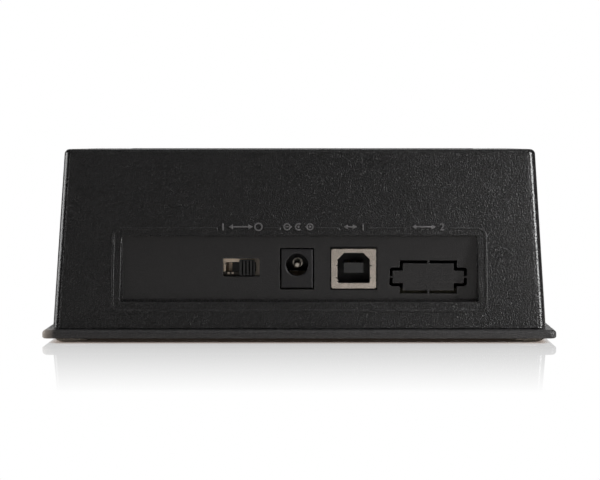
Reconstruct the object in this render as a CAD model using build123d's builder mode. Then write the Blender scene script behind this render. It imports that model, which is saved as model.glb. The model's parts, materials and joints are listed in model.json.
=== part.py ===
"""Hard drive docking station.

A tapered desktop case stands on a base plate with four rubber feet. A drive goes down through a
sprung dust flap in the roof into a guide frame, and lands on a serial ATA receptacle on the board.
The back of the case has a recessed panel with a slide switch, a power jack, a USB type B socket and
the knock-out blank of a socket that this version leaves out.

All sizes are in millimetres. +Z is up, +Y is towards the back with its sockets, and +X is to the
right as seen from the front. The origin is on the table, under the middle of the case.
"""

import os
from math import cos, radians, sin, tan

from build123d import *

os.makedirs("parts", exist_ok=True)

# Case
housing_height = 48.4
side_lean = 2.65
end_lean = 10.0
wall = 2.0
roof = 2.0
corner_radius = 2.6
roof_edge_radius = 1.4
roof_opening_chamfer = 0.5
inner_radius = 0.8
seam_groove_height = 0.3
seam_groove_depth = 0.7

# Base plate and its feet
foot_gap = 1.15
plate_thickness = 2.2
plate_overhang = 2.4
plate_corner_radius = 2.0
plate_edge_radius = 1.0
plate_under_chamfer = 0.3
lip_height = 2.0
lip_thickness = 1.2
lip_clearance = 0.2
foot_diameter = 10.0
foot_recess = 0.8
foot_clearance = 0.1
foot_inset = 7.5
foot_chamfer = 0.4

# Corner bosses and the case screws that pull the base plate against them
boss_diameter = 6.5
boss_wall_gap = 1.85
boss_bay_gap = 0.5
boss_seat_gap = 0.1
boss_rib = 1.2
screw_pad_diameter = 9.0
screw_pad_height = 2.0
case_screw_diameter = 2.9
case_screw_length = 10.0
case_head_diameter = 5.6
case_head_height = 1.9
screw_clearance = 0.05
head_clearance = 0.3
hole_spare = 1.0

# Main board on its standoffs
standoff_height = 8.95
standoff_diameter = 6.0
standoff_foot = 1.5
board_thickness = 1.6
board_corner_radius = 2.0
board_side_gap = 1.75
board_rear_gap = 0.45
board_front_gap = 3.7
board_screw_inset = 4.5
board_screw_diameter = 2.6
board_screw_length = 7.0
board_head_diameter = 5.0
board_head_height = 1.8
post_spread = 30.0
lead_clearance = 0.2
lead_below_board = 1.2

# Connector panel: a recess with an upright floor in the leaning back wall, framed by a bead
recess_width = 96.2
recess_low = 10.95
recess_high = 28.2
recess_depth_at_top = 0.9
recess_draft = 5.0
recess_radius = 0.5
bead_width = 101.5
bead_low = 7.95
bead_high = 30.5
bead_radius = 2.4
bead_thickness = 0.6
bead_proud = 0.25
bead_edge_radius = 0.12
recess_edge_radius = 0.25
mark_gap_margin = 0.7
switch_mark_width = 11.4
power_mark_width = 8.4
power_mark_shift = -0.4
usb_mark_width = 6.3
blank_mark_width = 10.8
blank_mark_shift = 0.3
socket_clearance = 0.3

# Knock-out blank of the socket that is left out
blank_x = -35.0
blank_z = 17.05
blank_width = 21.1
blank_wing_height = 5.15
blank_body_width = 15.6
blank_height = 9.1
blank_slot = 0.88
blank_bridge = 0.5
blank_wing_radius = 0.8

# Slide switch
switch_x = 15.85
switch_height = 5.7
switch_opening_width = 9.95
switch_opening_height = 4.9
switch_opening_radius = 0.3
switch_frame_width = 13.4
switch_frame_height = 6.2
switch_frame_depth = 4.7
switch_sheet = 0.5
switch_panel_gap = 0.3
switch_stem_width = 4.5
switch_stem_height = 2.5
switch_travel = 3.1
switch_clearance = 0.1
switch_window_spare = 0.5
switch_leg = 1.6
slider_base_width = 8.4
slider_base_thickness = 1.4
slider_spring_gap = 1.3
knob_width = 4.15
knob_height = 4.05
knob_proud = 0.9
knob_wall = 0.6
knob_groove = 0.4
knob_groove_depth = 0.5
knob_groove_pitch = 0.93
knob_groove_shift = 0.2
knob_grooves = 4
terminal_pitch = 3.1
terminal_width = 1.2
terminal_thickness = 0.4
wiper_thickness = 0.2

# Power jack for a barrel plug
jack_x = 0.7
jack_width = 8.8
jack_height = 10.8
jack_length = 14.5
jack_bore = 6.0
jack_bore_depth = 10.0
jack_axis_height = 6.4
jack_edge_radius = 0.5
jack_pin_diameter = 2.0
jack_pin_recess = 1.0
jack_collar_diameter = 2.8
jack_collar_length = 1.2
jack_tail = 0.5
jack_tail_width = 2.4
jack_spring_width = 4.4
jack_spring_thickness = 0.25
jack_spring_offset = 2.05
jack_spring_side_gap = 0.3
jack_spring_anchor = 2.2
jack_spring_mouth = 1.2
jack_spring_drop = 3.9

# USB type B socket
usb_x = -14.7
usb_width = 12.1
usb_height = 10.8
usb_length = 16.0
usb_sheet = 0.4
usb_corner_radius = 0.5
usb_mouth_width = 8.9
usb_mouth_height = 8.25
usb_mouth_chamfer = 1.85
usb_mouth_corner_radius = 0.5
usb_mouth_depth = 9.0
usb_mouth_height_above_board = 5.6
usb_slit_reach = 0.4
usb_slit_height = 0.3
usb_slit_spread = 3.35
usb_slit_middle = 4.55
usb_tongue_width = 5.3
usb_tongue_height = 2.75
usb_tongue_recess = 0.8
usb_insert_clearance = 0.05
usb_back_room = 2.4
usb_contact_width = 1.0
usb_contact_pitch = 2.5
usb_contact_thickness = 0.2
usb_tab_width = 2.4
usb_tab_from_face = 10.0

# Drive bay: a guide frame for 3.5 inch drives, with the flap's notch for 2.5 inch drives.
# The rooms lie between the bay and the case's walls, measured just under the roof.
bay_side_room = 9.53
bay_front_room = 6.5
connector_gap = 1.4
bay_width = 102.8
bay_depth = 32.0
bay_wall = 1.6
bay_corner_radius = 1.2
bay_top_gap = 0.2
bay_floor_gap = 1.7
bay_floor = 1.5
bay_rib_width = 2.0
bay_rib_proud = 0.8
bay_rib_spread = 34.0
ear_reach = 3.4
ear_thickness = 2.0
ear_diameter = 5.4
ear_spread = 12.0
ear_depth_below_roof = 7.2
bay_screw_diameter = 2.2
bay_screw_length = 5.4
bay_head_diameter = 4.2
bay_head_height = 1.5

# Serial ATA receptacle
receptacle_from_bay_side = 34.0
receptacle_from_bay_wall = 4.0
receptacle_length = 42.7
receptacle_depth = 6.0
receptacle_height = 8.0
receptacle_clearance = 0.35
receptacle_slot = 2.0
receptacle_slot_depth = 5.8
receptacle_key = 1.3
contact_pitch = 1.27
contact_width = 0.7
contact_thickness = 0.25
signal_contacts = 7
power_contacts = 15
segment_gap = 6.35
segment_end = 1.4
contact_tail = 1.4

# Dust flap, its hinge and its spring
flap_sink = 0.4
flap_thickness = 1.6
flap_gap = 0.4
flap_side_gap = 0.3
flap_corner_radius = 1.0
hinge_drop = 1.4
hinge_inset = 2.0
hinge_pin_diameter = 1.5
hinge_clearance = 0.05
knuckle_radius = 1.5
knuckle_end_length = 12.0
knuckle_end_inset = 0.8
knuckle_middle_length = 22.0
flap_rib_height = 1.5
flap_rib_thickness = 1.2
small_drive_width = 69.9
small_drive_overhang = 8.75
notch_clearance = 0.45
notch_depth = 13.2
notch_radius = 1.5
notch_chamfer = 0.5
stop_near = 3.2
stop_length = 2.0
stop_drop = 0.4
stop_reach = 1.5
stop_web = 1.1
stop_clearance = 0.3
ear_root = 1.0
spring_turns = 4
spring_pitch = 0.6
spring_wire = 0.4
spring_wire_sides = 6
spring_gap = 0.15
spring_leg = 6.0
spring_pad_width = 2.4

# Light pipe and status lamp in the front wall
pipe_z = 18.0
pipe_diameter = 3.0
pipe_clearance = 0.05
pipe_proud = 0.3
pipe_nose_chamfer = 0.3
pipe_flange_diameter = 4.8
pipe_flange = 1.0
pipe_boss_diameter = 6.4
pipe_boss_length = 1.6
lamp_gap = 0.3
lamp_diameter = 3.0
lamp_nose_radius = 1.4
lamp_length = 4.3
lamp_flange_diameter = 3.8
lamp_flange = 0.8
lamp_lead = 0.45
lamp_lead_pitch = 2.54
lamp_lead_reach = 2.0

# Other components on the board
chip_gap = 11.5
chip_y = -3.0
chip_size = 9.0
chip_height = 1.1
chip_standoff = 0.1
chip_leads_per_side = 8
chip_lead_pitch = 0.9
chip_lead_reach = 1.0
chip_lead_width = 0.35
capacitor_pitch = 7.4
capacitor_diameter = 6.3
capacitor_height = 7.7
capacitor_base = 6.6
capacitor_base_height = 0.9
inductor_from_end = 19.1
inductor_size = 7.3
inductor_height = 4.0
inductor_groove_diameter = 5.8
inductor_groove = 0.9
crystal_from_end = 22.1
crystal_length = 11.0
crystal_width = 4.6
crystal_height = 3.5
crystal_rim = 0.45
regulator_from_end = 18.1
regulator_width = 6.6
regulator_length = 6.1
regulator_height = 2.3
regulator_tab_width = 5.3
regulator_tab = 1.0
regulator_tab_thickness = 0.5
regulator_leads = 3
regulator_lead_pitch = 2.3
regulator_lead_width = 0.75
regulator_lead_reach = 1.5

# Heights worked out from the sizes above
plate_z = foot_gap
seam_z = plate_z + plate_thickness
top_z = seam_z + housing_height
roof_z = top_z - roof
board_low = seam_z + standoff_height
board_z = board_low + board_thickness
lead_end_z = board_low - lead_below_board
flap_top = top_z - flap_sink
flap_low = flap_top - flap_thickness
hinge_z = flap_low - hinge_drop
bay_top = roof_z - bay_top_gap
bay_floor_low = board_z + bay_floor_gap
bay_floor_z = bay_floor_low + bay_floor
ear_top = roof_z - ear_depth_below_roof + ear_thickness


# The case's outline where the upper housing stands on the base plate, round what the case holds
case_width = bay_width + 2 * (
    bay_wall
    + bay_side_room
    + wall / cos(radians(side_lean))
    + (roof_z - seam_z) * tan(radians(side_lean))
)
case_depth = (
    bay_front_room
    + bay_depth
    + 2 * bay_wall
    + connector_gap
    + usb_length
    + recess_depth_at_top
    + wall / cos(radians(end_lean))
    + (roof_z - seam_z + recess_high - seam_z) * tan(radians(end_lean))
)


def half_width(z, inset=0.0):
    """Half the case's width at height z, out to a surface that lies inset from its side wall."""
    lean = radians(side_lean)
    return case_width / 2 - (z - seam_z) * tan(lean) - inset / cos(lean)


def half_depth(z, inset=0.0):
    """Half the case's depth at height z, out to a surface that lies inset from its end wall."""
    lean = radians(end_lean)
    return case_depth / 2 - (z - seam_z) * tan(lean) - inset / cos(lean)


# Places worked out from the back wall forwards
panel_y = half_depth(recess_high) - recess_depth_at_top
panel_inner_y = panel_y - wall
board_rear = panel_inner_y - board_rear_gap
board_front = -half_depth(board_low, wall) + board_front_gap
bay_rear_outer = panel_y - usb_length - connector_gap
bay_rear = bay_rear_outer - bay_wall
bay_front = bay_rear - bay_depth
bay_front_outer = bay_front - bay_wall
bay_middle = (bay_rear + bay_front) / 2
boss_x = half_width(roof_z, wall) - boss_diameter / 2 - boss_wall_gap
boss_y = boss_diameter / 2 + boss_bay_gap - bay_front_outer
board_half = boss_x - boss_diameter / 2 - board_side_gap
board_screw_x = board_half - board_screw_inset
ear_x = bay_width / 2 + bay_wall + ear_reach
hinge_y = bay_front + hinge_inset
receptacle_y = bay_rear - receptacle_from_bay_wall
receptacle_x = receptacle_from_bay_side - bay_width / 2
notch_width = small_drive_width + 2 * notch_clearance
notch_x = receptacle_x - receptacle_length / 2 - small_drive_overhang + small_drive_width / 2
notch_front = bay_rear - notch_depth
notch_side_x = notch_x + notch_width / 2
flap_half = bay_width / 2 - flap_side_gap
middle_rib_x = (notch_side_x + flap_half) / 2
spring_x = (knuckle_middle_length / 2 + notch_side_x) / 2
spring_length = (spring_turns + 0.25) * spring_pitch
front_strip_y = (board_front + bay_front_outer) / 2
rear_strip_y = (board_rear + bay_rear_outer) / 2
chip_x = receptacle_x + receptacle_length / 2 + chip_gap + chip_size / 2
capacitor_x = (switch_x + switch_frame_width / 2 + board_screw_x) / 2
capacitor_points = [(capacitor_x + side * capacitor_pitch / 2, rear_strip_y) for side in (-1, 1)]
inductor_x = inductor_from_end - board_half
crystal_x = board_half - crystal_from_end
regulator_x = regulator_from_end - board_half
plate_width = case_width + 2 * plate_overhang
plate_depth = case_depth + 2 * plate_overhang
foot_x = plate_width / 2 - foot_inset
foot_y = plate_depth / 2 - foot_inset

board_screw_points = [
    (side * board_screw_x, y)
    for side in (-1, 1)
    for y in (board_front + board_screw_inset, board_rear - board_screw_inset)
]
ear_points = [
    (side * ear_x, bay_middle + end * ear_spread / 2) for side in (-1, 1) for end in (-1, 1)
]


def rear_view(y):
    """The upright plane at depth y as seen from the back: first axis towards -X, second up."""
    return Plane(origin=(0, y, 0), x_dir=(-1, 0, 0), z_dir=(0, 1, 0))


def leaning_block(low, high, inset, edge_radius):
    """A solid between two heights whose four sides lean in with the case."""
    with BuildPart() as block:
        with BuildSketch(Plane.XZ):
            with BuildLine():
                Polyline(
                    (-half_width(low, inset), low),
                    (half_width(low, inset), low),
                    (half_width(high, inset), high),
                    (-half_width(high, inset), high),
                    close=True,
                )
            make_face()
        extrude(amount=case_depth, both=True)
        with BuildSketch(Plane.YZ):
            with BuildLine():
                Polyline(
                    (-half_depth(low, inset), low),
                    (half_depth(low, inset), low),
                    (half_depth(high, inset), high),
                    (-half_depth(high, inset), high),
                    close=True,
                )
            make_face()
        extrude(amount=case_width, both=True, mode=Mode.INTERSECT)
        corners = block.edges().filter_by(lambda edge: edge.bounding_box().size.Z > 0.5 * (high - low))
        fillet(corners, edge_radius)
    return block.part


def pan_screws(points, seat_z, up, head, head_height, shank, length):
    """Round-headed screws on one seat height: up is 1 for shanks that point up, -1 for down."""
    with BuildPart() as group:
        with BuildSketch(Plane.XY.offset(seat_z)):
            with Locations(*points):
                Circle(head / 2)
        extrude(amount=-up * head_height)
        crowns = group.edges().group_by(Axis.Z)[0 if up > 0 else -1]
        chamfer(crowns, head_height / 3)
        with BuildSketch(Plane.XY.offset(seat_z)):
            with Locations(*points):
                Circle(shank / 2)
        extrude(amount=up * length)
    return group.part


# Upper housing. The cavity is what the walls, the roof, the panel, the bosses and the ribs leave.
case_block = leaning_block(seam_z, top_z, 0, corner_radius)
hollow_block = leaning_block(seam_z - 1, roof_z, wall, inner_radius)
boss_low = seam_z + screw_pad_height + boss_seat_gap
rib_low = seam_z + lip_height + 2 * lip_clearance
boss_points = [(x, y) for x in (-boss_x, boss_x) for y in (-boss_y, boss_y)]
recess_middle_z = (recess_low + recess_high) / 2
recess_height = recess_high - recess_low
pipe_seat_y = -half_depth(pipe_z, wall) + pipe_boss_length
pin_top = hinge_z + hinge_pin_diameter / 2

with BuildPart() as cavity:
    add(hollow_block)
    # the panel's backing, one wall thick behind the recess and around it
    with BuildSketch(rear_view(panel_inner_y)):
        with Locations((0, recess_middle_z)):
            Rectangle(recess_width + 2 * wall, recess_height + 2 * wall)
    extrude(amount=case_depth, mode=Mode.SUBTRACT)
    # corner bosses for the case screws, with ribs out to the walls
    with BuildSketch(Plane.XY.offset(boss_low)):
        with Locations(*boss_points):
            Circle(boss_diameter / 2)
    extrude(amount=roof_z - boss_low, mode=Mode.SUBTRACT)
    with BuildSketch(Plane.XY.offset(rib_low)):
        with Locations((0, -boss_y), (0, boss_y)):
            Rectangle(case_width, boss_rib)
            Rectangle(2 * boss_x, boss_rib, mode=Mode.SUBTRACT)
        with Locations((-boss_x, 0), (boss_x, 0)):
            Rectangle(boss_rib, case_depth)
            Rectangle(boss_rib, 2 * boss_y, mode=Mode.SUBTRACT)
    extrude(amount=roof_z - rib_low, mode=Mode.SUBTRACT)
    # short bosses under the roof that carry the drive bay frame
    with BuildSketch(Plane.XY.offset(ear_top)):
        with Locations(*ear_points):
            Circle(ear_diameter / 2)
    extrude(amount=roof_z - ear_top, mode=Mode.SUBTRACT)
    # tongues under the roof that keep the hinge pin down in its slots
    with BuildSketch(Plane.XY.offset(pin_top + hinge_clearance)):
        with Locations(*[(side * (bay_width + bay_wall) / 2, hinge_y) for side in (-1, 1)]):
            Rectangle(bay_wall - 2 * hinge_clearance, hinge_pin_diameter - 2 * hinge_clearance)
    extrude(amount=roof_z - pin_top, mode=Mode.SUBTRACT)
    # the light pipe's boss on the front wall
    with BuildSketch(Plane.XZ.offset(-pipe_seat_y)):
        with Locations((0, pipe_z)):
            Circle(pipe_boss_diameter / 2)
    extrude(amount=case_depth / 4, mode=Mode.SUBTRACT)

bead_middle_z = (bead_low + bead_high) / 2
back_face = Plane(
    origin=(0, half_depth(bead_middle_z), bead_middle_z),
    x_dir=(-1, 0, 0),
    z_dir=(0, cos(radians(end_lean)), sin(radians(end_lean))),
)
bead_height = (bead_high - bead_low) / cos(radians(end_lean))
marks = [
    (switch_x, switch_mark_width),
    (jack_x + power_mark_shift, power_mark_width),
    (usb_x, usb_mark_width),
    (blank_x + blank_mark_shift, blank_mark_width),
]
switch_z = board_z + switch_height
jack_z = board_z + jack_axis_height

with BuildPart() as upper_housing:
    add(case_block)
    fillet(upper_housing.edges().group_by(Axis.Z)[-1], roof_edge_radius)
    add(cavity.part, mode=Mode.SUBTRACT)
    # shadow groove round the foot, above the base plate
    with BuildSketch(Plane.XY.offset(seam_z)):
        Rectangle(2 * case_width, 2 * case_depth)
        RectangleRounded(
            case_width - 2 * seam_groove_depth,
            case_depth - 2 * seam_groove_depth,
            corner_radius,
            mode=Mode.SUBTRACT,
        )
    extrude(amount=seam_groove_height, mode=Mode.SUBTRACT)
    # roof opening over the drive bay, with an eased edge
    with BuildSketch(Plane.XY.offset(roof_z - hole_spare)):
        with Locations((0, bay_middle)):
            RectangleRounded(bay_width, bay_depth, bay_corner_radius)
    extrude(amount=roof + 2 * hole_spare, mode=Mode.SUBTRACT)
    rim = upper_housing.edges().group_by(Axis.Z)[-1].filter_by(
        lambda edge: abs(edge.center().X) < bay_width / 2 + 0.1
        and abs(edge.center().Y - bay_middle) < bay_depth / 2 + 0.1
    )
    chamfer(rim, roof_opening_chamfer)
    # recess in the back wall
    with BuildSketch(rear_view(panel_y)):
        with Locations((0, recess_middle_z)):
            RectangleRounded(recess_width, recess_height, recess_radius)
    extrude(amount=4 * wall, taper=-recess_draft, mode=Mode.SUBTRACT)
    recess_rim = upper_housing.edges().filter_by(
        lambda edge: back_face.contains(edge @ 0)
        and back_face.contains(edge @ 0.5)
        and abs(edge.center().X) < recess_width / 2 + wall
        and recess_low - wall < edge.center().Z < recess_high + wall
    )
    fillet(recess_rim, recess_edge_radius)
    # openings through the panel
    with BuildSketch(rear_view(panel_y)):
        with Locations((-switch_x, switch_z)):
            RectangleRounded(switch_opening_width, switch_opening_height, switch_opening_radius)
        with Locations((-jack_x, board_z + jack_height / 2)):
            RectangleRounded(
                jack_width + 2 * socket_clearance,
                jack_height + 2 * socket_clearance,
                jack_edge_radius,
            )
        with Locations((-usb_x, board_z + usb_height / 2)):
            RectangleRounded(
                usb_width + 2 * socket_clearance,
                usb_height + 2 * socket_clearance,
                usb_corner_radius,
            )
    extrude(amount=wall + hole_spare, both=True, mode=Mode.SUBTRACT)
    # the blank's perforated outline, held by four bridges
    with BuildSketch(rear_view(panel_y)) as blank:
        with Locations((-blank_x, blank_z)):
            RectangleRounded(blank_width, blank_wing_height, blank_wing_radius)
            Rectangle(blank_body_width, blank_height)
            Rectangle(
                blank_width - 2 * blank_slot,
                blank_wing_height - 2 * blank_slot,
                mode=Mode.SUBTRACT,
            )
            Rectangle(
                blank_body_width - 2 * blank_slot,
                blank_height - 2 * blank_slot,
                mode=Mode.SUBTRACT,
            )
            Rectangle(blank_bridge, 2 * blank_height, mode=Mode.SUBTRACT)
            Rectangle(2 * blank_width, blank_bridge, mode=Mode.SUBTRACT)
    extrude(amount=wall + hole_spare, both=True, mode=Mode.SUBTRACT)
    # bead round the recess, broken where the socket marks stand
    with BuildSketch(back_face):
        RectangleRounded(bead_width, bead_height, bead_radius)
        offset(amount=-bead_thickness, mode=Mode.SUBTRACT)
        for mark_x, mark_width in marks:
            with Locations((-mark_x, bead_height / 2)):
                Rectangle(mark_width + 2 * mark_gap_margin, bead_height / 4, mode=Mode.SUBTRACT)
    extrude(amount=bead_proud)
    bead_top = back_face.offset(bead_proud)
    bead_edges = upper_housing.edges().filter_by(
        lambda edge: bead_top.contains(edge @ 0) and bead_top.contains(edge @ 0.5)
    )
    fillet(bead_edges, bead_edge_radius)
    # hole for the light pipe
    with BuildSketch(Plane.XZ.offset(-pipe_seat_y)):
        with Locations((0, pipe_z)):
            Circle(pipe_diameter / 2 + pipe_clearance)
    extrude(amount=case_depth / 4, both=True, mode=Mode.SUBTRACT)
    # screw holes in the corner bosses and in the short bosses
    with BuildSketch(Plane.XY.offset(seam_z)):
        with Locations(*boss_points):
            Circle(case_screw_diameter / 2 + screw_clearance)
    extrude(amount=case_screw_length + hole_spare, mode=Mode.SUBTRACT)
    with BuildSketch(Plane.XY.offset(ear_top)):
        with Locations(*ear_points):
            Circle(bay_screw_diameter / 2 + screw_clearance)
    extrude(amount=bay_screw_length - ear_thickness + hole_spare, mode=Mode.SUBTRACT)
upper_housing.part.label = "upper_housing"
export_step(upper_housing.part, "parts/upper_housing.step")


# Base plate
lip_z = seam_z + lip_height
post_points = [(receptacle_x + end * post_spread / 2, receptacle_y) for end in (-1, 1)]
underside = Plane(origin=(0, 0, plate_z), x_dir=(1, 0, 0), z_dir=(0, 0, -1))

with BuildPart() as base_plate:
    with BuildSketch(Plane.XY.offset(plate_z)):
        RectangleRounded(plate_width, plate_depth, plate_corner_radius)
    extrude(amount=plate_thickness)
    fillet(base_plate.edges().group_by(Axis.Z)[-1], plate_edge_radius)
    chamfer(base_plate.edges().group_by(Axis.Z)[0], plate_under_chamfer)
    # lip that locates the upper housing
    with BuildSketch(Plane.XY.offset(seam_z)):
        RectangleRounded(
            2 * (half_width(lip_z, wall) - lip_clearance),
            2 * (half_depth(lip_z, wall) - lip_clearance),
            inner_radius + lip_clearance,
        )
        offset(amount=-lip_thickness, mode=Mode.SUBTRACT)
    extrude(amount=lip_height)
    # pads under the corner bosses
    with BuildSketch(Plane.XY.offset(seam_z)):
        with Locations(*boss_points):
            Circle(screw_pad_diameter / 2)
    extrude(amount=screw_pad_height)
    # standoffs for the board, and two posts under the receptacle
    with BuildSketch(Plane.XY.offset(seam_z)):
        with Locations(*board_screw_points, *post_points):
            Circle(standoff_diameter / 2)
    extrude(amount=standoff_height)
    with BuildSketch(Plane.XY.offset(seam_z)):
        with Locations(*board_screw_points, *post_points):
            Circle(standoff_diameter / 2 + standoff_foot)
    extrude(amount=standoff_foot, taper=45)
    with BuildSketch(Plane.XY.offset(board_low - board_screw_length)):
        with Locations(*board_screw_points):
            Circle(board_screw_diameter / 2 + screw_clearance)
    extrude(amount=board_screw_length, mode=Mode.SUBTRACT)
    # counterbored case screw holes and foot recesses, cut from below
    with Locations(underside):
        with GridLocations(2 * boss_x, 2 * boss_y, 2, 2):
            CounterBoreHole(
                case_screw_diameter / 2 + head_clearance,
                case_head_diameter / 2 + head_clearance,
                plate_thickness,
                plate_thickness + screw_pad_height,
            )
    with BuildSketch(underside):
        with GridLocations(2 * foot_x, 2 * foot_y, 2, 2):
            Circle(foot_diameter / 2 + foot_clearance)
    extrude(amount=-foot_recess, mode=Mode.SUBTRACT)
base_plate.part.label = "base_plate"
export_step(base_plate.part, "parts/base_plate.step")


# Rubber feet
foot_places = {
    "front_left": (-foot_x, -foot_y),
    "front_right": (foot_x, -foot_y),
    "rear_left": (-foot_x, foot_y),
    "rear_right": (foot_x, foot_y),
}
for place, point in foot_places.items():
    with BuildPart() as foot:
        with BuildSketch(Plane.XY):
            with Locations(point):
                Circle(foot_diameter / 2)
        extrude(amount=foot_gap + foot_recess)
        chamfer(foot.edges().group_by(Axis.Z)[0], foot_chamfer)
    foot.part.label = f"foot_{place}"
    export_step(foot.part, f"parts/foot_{place}.step")


# Case screws, from below through the base plate into the corner bosses
case_screws = pan_screws(
    boss_points,
    seam_z,
    1,
    case_head_diameter,
    case_head_height,
    case_screw_diameter,
    case_screw_length,
)
case_screws.label = "case_screws"
export_step(case_screws, "parts/case_screws.step")


# Places of the leads, tabs and legs that pass through the board
usb_back = panel_y - usb_length
usb_insert_back = usb_back + usb_back_room
usb_tab_y = panel_y - usb_tab_from_face
usb_tab_x = usb_width / 2 - usb_sheet / 2
usb_tail_ys = (usb_back + usb_back_room / 3, usb_back + usb_back_room * 3 / 4)
switch_front = panel_inner_y - switch_panel_gap
switch_back = switch_front - switch_frame_depth
switch_leg_x = switch_frame_width / 2 - switch_sheet / 2
switch_leg_y = switch_back + switch_leg / 2
terminal_y = switch_back - 2 * terminal_thickness
terminal_xs = [switch_x + step * terminal_pitch for step in (-1, 0, 1)]
jack_back = panel_y - jack_length
jack_tail_y = jack_back - jack_tail / 2
jack_channel_back = panel_y - jack_bore_depth - jack_spring_anchor
jack_leg_y = jack_channel_back + jack_spring_thickness
lamp_tip_y = pipe_seat_y + pipe_flange + lamp_gap
lamp_back_y = lamp_tip_y + lamp_length + lamp_flange
lamp_lead_y = lamp_back_y + lamp_lead_reach
lamp_lead_xs = (-lamp_lead_pitch / 2, lamp_lead_pitch / 2)

# Each lead: x, y, and its size along X and Y
leads = [(usb_x + side * usb_tab_x, usb_tab_y, usb_sheet, usb_tab_width) for side in (-1, 1)]
leads += [
    (usb_x + side * usb_contact_pitch / 2, y, usb_contact_width, usb_contact_thickness)
    for side in (-1, 1)
    for y in usb_tail_ys
]
leads += [(switch_x + side * switch_leg_x, switch_leg_y, switch_sheet, switch_leg) for side in (-1, 1)]
leads += [(x, terminal_y, terminal_width, terminal_thickness) for x in terminal_xs]
leads += [(jack_x, jack_tail_y, jack_tail_width, jack_tail)]
leads += [(jack_x, jack_leg_y, jack_spring_width, jack_spring_thickness)]
leads += [(x, lamp_lead_y, lamp_lead, lamp_lead) for x in lamp_lead_xs]


# Main board
with BuildPart() as main_board:
    with BuildSketch(Plane.XY.offset(board_low)):
        with Locations((0, (board_front + board_rear) / 2)):
            RectangleRounded(2 * board_half, board_rear - board_front, board_corner_radius)
        with Locations(*board_screw_points):
            Circle(board_screw_diameter / 2 + head_clearance, mode=Mode.SUBTRACT)
        for lead_x, lead_y, lead_width, lead_depth in leads:
            with Locations((lead_x, lead_y)):
                Rectangle(
                    lead_width + 2 * lead_clearance,
                    lead_depth + 2 * lead_clearance,
                    mode=Mode.SUBTRACT,
                )
    extrude(amount=board_thickness)
main_board.part.label = "main_board"
export_step(main_board.part, "parts/main_board.step")


# Board screws, down into the standoffs
board_screws = pan_screws(
    board_screw_points,
    board_z,
    -1,
    board_head_diameter,
    board_head_height,
    board_screw_diameter,
    board_screw_length,
)
board_screws.label = "board_screws"
export_step(board_screws, "parts/board_screws.step")


# Drive bay frame
spring_radius = hinge_pin_diameter / 2 + spring_gap + spring_wire / 2
pad_y = hinge_y - spring_radius - spring_wire / 2 - spring_gap
stop_inner_radius = stop_near - stop_clearance
stop_outer_radius = stop_near + stop_length + stop_clearance

with BuildPart() as drive_bay_frame:
    with BuildSketch(Plane.XY.offset(bay_floor_low)):
        with Locations((0, bay_middle)):
            RectangleRounded(
                bay_width + 2 * bay_wall,
                bay_depth + 2 * bay_wall,
                bay_corner_radius + bay_wall,
            )
            with GridLocations(bay_rib_spread, bay_depth + 2 * bay_wall, 3, 2):
                Rectangle(bay_rib_width, 2 * bay_rib_proud)
    extrude(amount=bay_top - bay_floor_low)
    with BuildSketch(Plane.XY.offset(bay_floor_z)):
        with Locations((0, bay_middle)):
            RectangleRounded(bay_width, bay_depth, bay_corner_radius)
    extrude(amount=bay_top - bay_floor_z, mode=Mode.SUBTRACT)
    # the receptacle stands up through the floor
    with BuildSketch(Plane.XY.offset(bay_floor_low)):
        with Locations((receptacle_x, receptacle_y)):
            Rectangle(
                receptacle_length + 2 * receptacle_clearance,
                receptacle_depth + 2 * receptacle_clearance,
            )
    extrude(amount=bay_floor, mode=Mode.SUBTRACT)
    # ears that are screwed under the roof bosses
    with BuildSketch(Plane.XY.offset(ear_top - ear_thickness)):
        for ear_point_x, ear_point_y in ear_points:
            inner_x = ear_point_x * (bay_width / 2 + bay_wall) / ear_x
            with Locations((ear_point_x, ear_point_y)):
                Circle(ear_diameter / 2)
            with Locations(((ear_point_x + inner_x) / 2, ear_point_y)):
                Rectangle(ear_reach, ear_diameter)
        with Locations(*ear_points):
            Circle(bay_screw_diameter / 2 + screw_clearance, mode=Mode.SUBTRACT)
    extrude(amount=ear_thickness)
    # slots that the hinge pin drops into from above
    with BuildSketch(Plane.YZ):
        with Locations((hinge_y, hinge_z)):
            Circle(hinge_pin_diameter / 2 + hinge_clearance)
        with Locations((hinge_y, (hinge_z + bay_top) / 2)):
            Rectangle(hinge_pin_diameter + 2 * hinge_clearance, bay_top - hinge_z)
    extrude(amount=bay_width, both=True, mode=Mode.SUBTRACT)
    # round slots in the side walls that the flap's stops swing in
    with BuildSketch(Plane.YZ):
        with Locations((hinge_y, hinge_z)):
            Circle(stop_outer_radius)
            Circle(stop_inner_radius, mode=Mode.SUBTRACT)
        with Locations((hinge_y - ear_root - stop_outer_radius, hinge_z)):
            Rectangle(2 * stop_outer_radius, 4 * stop_outer_radius, mode=Mode.SUBTRACT)
    extrude(amount=bay_width, both=True, mode=Mode.SUBTRACT)
    # pad that the spring's lower leg bears on
    with BuildSketch(Plane.XY.offset(hinge_z - spring_leg - stop_clearance)):
        with Locations((spring_x + spring_length / 2, (bay_front + pad_y) / 2)):
            Rectangle(spring_pad_width, pad_y - bay_front)
    extrude(amount=spring_leg / 2)
drive_bay_frame.part.label = "drive_bay_frame"
export_step(drive_bay_frame.part, "parts/drive_bay_frame.step")


# Bay frame screws, up through the ears into the roof bosses
bay_frame_screws = pan_screws(
    ear_points,
    ear_top - ear_thickness,
    1,
    bay_head_diameter,
    bay_head_height,
    bay_screw_diameter,
    bay_screw_length,
)
bay_frame_screws.label = "bay_frame_screws"
export_step(bay_frame_screws, "parts/bay_frame_screws.step")


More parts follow.
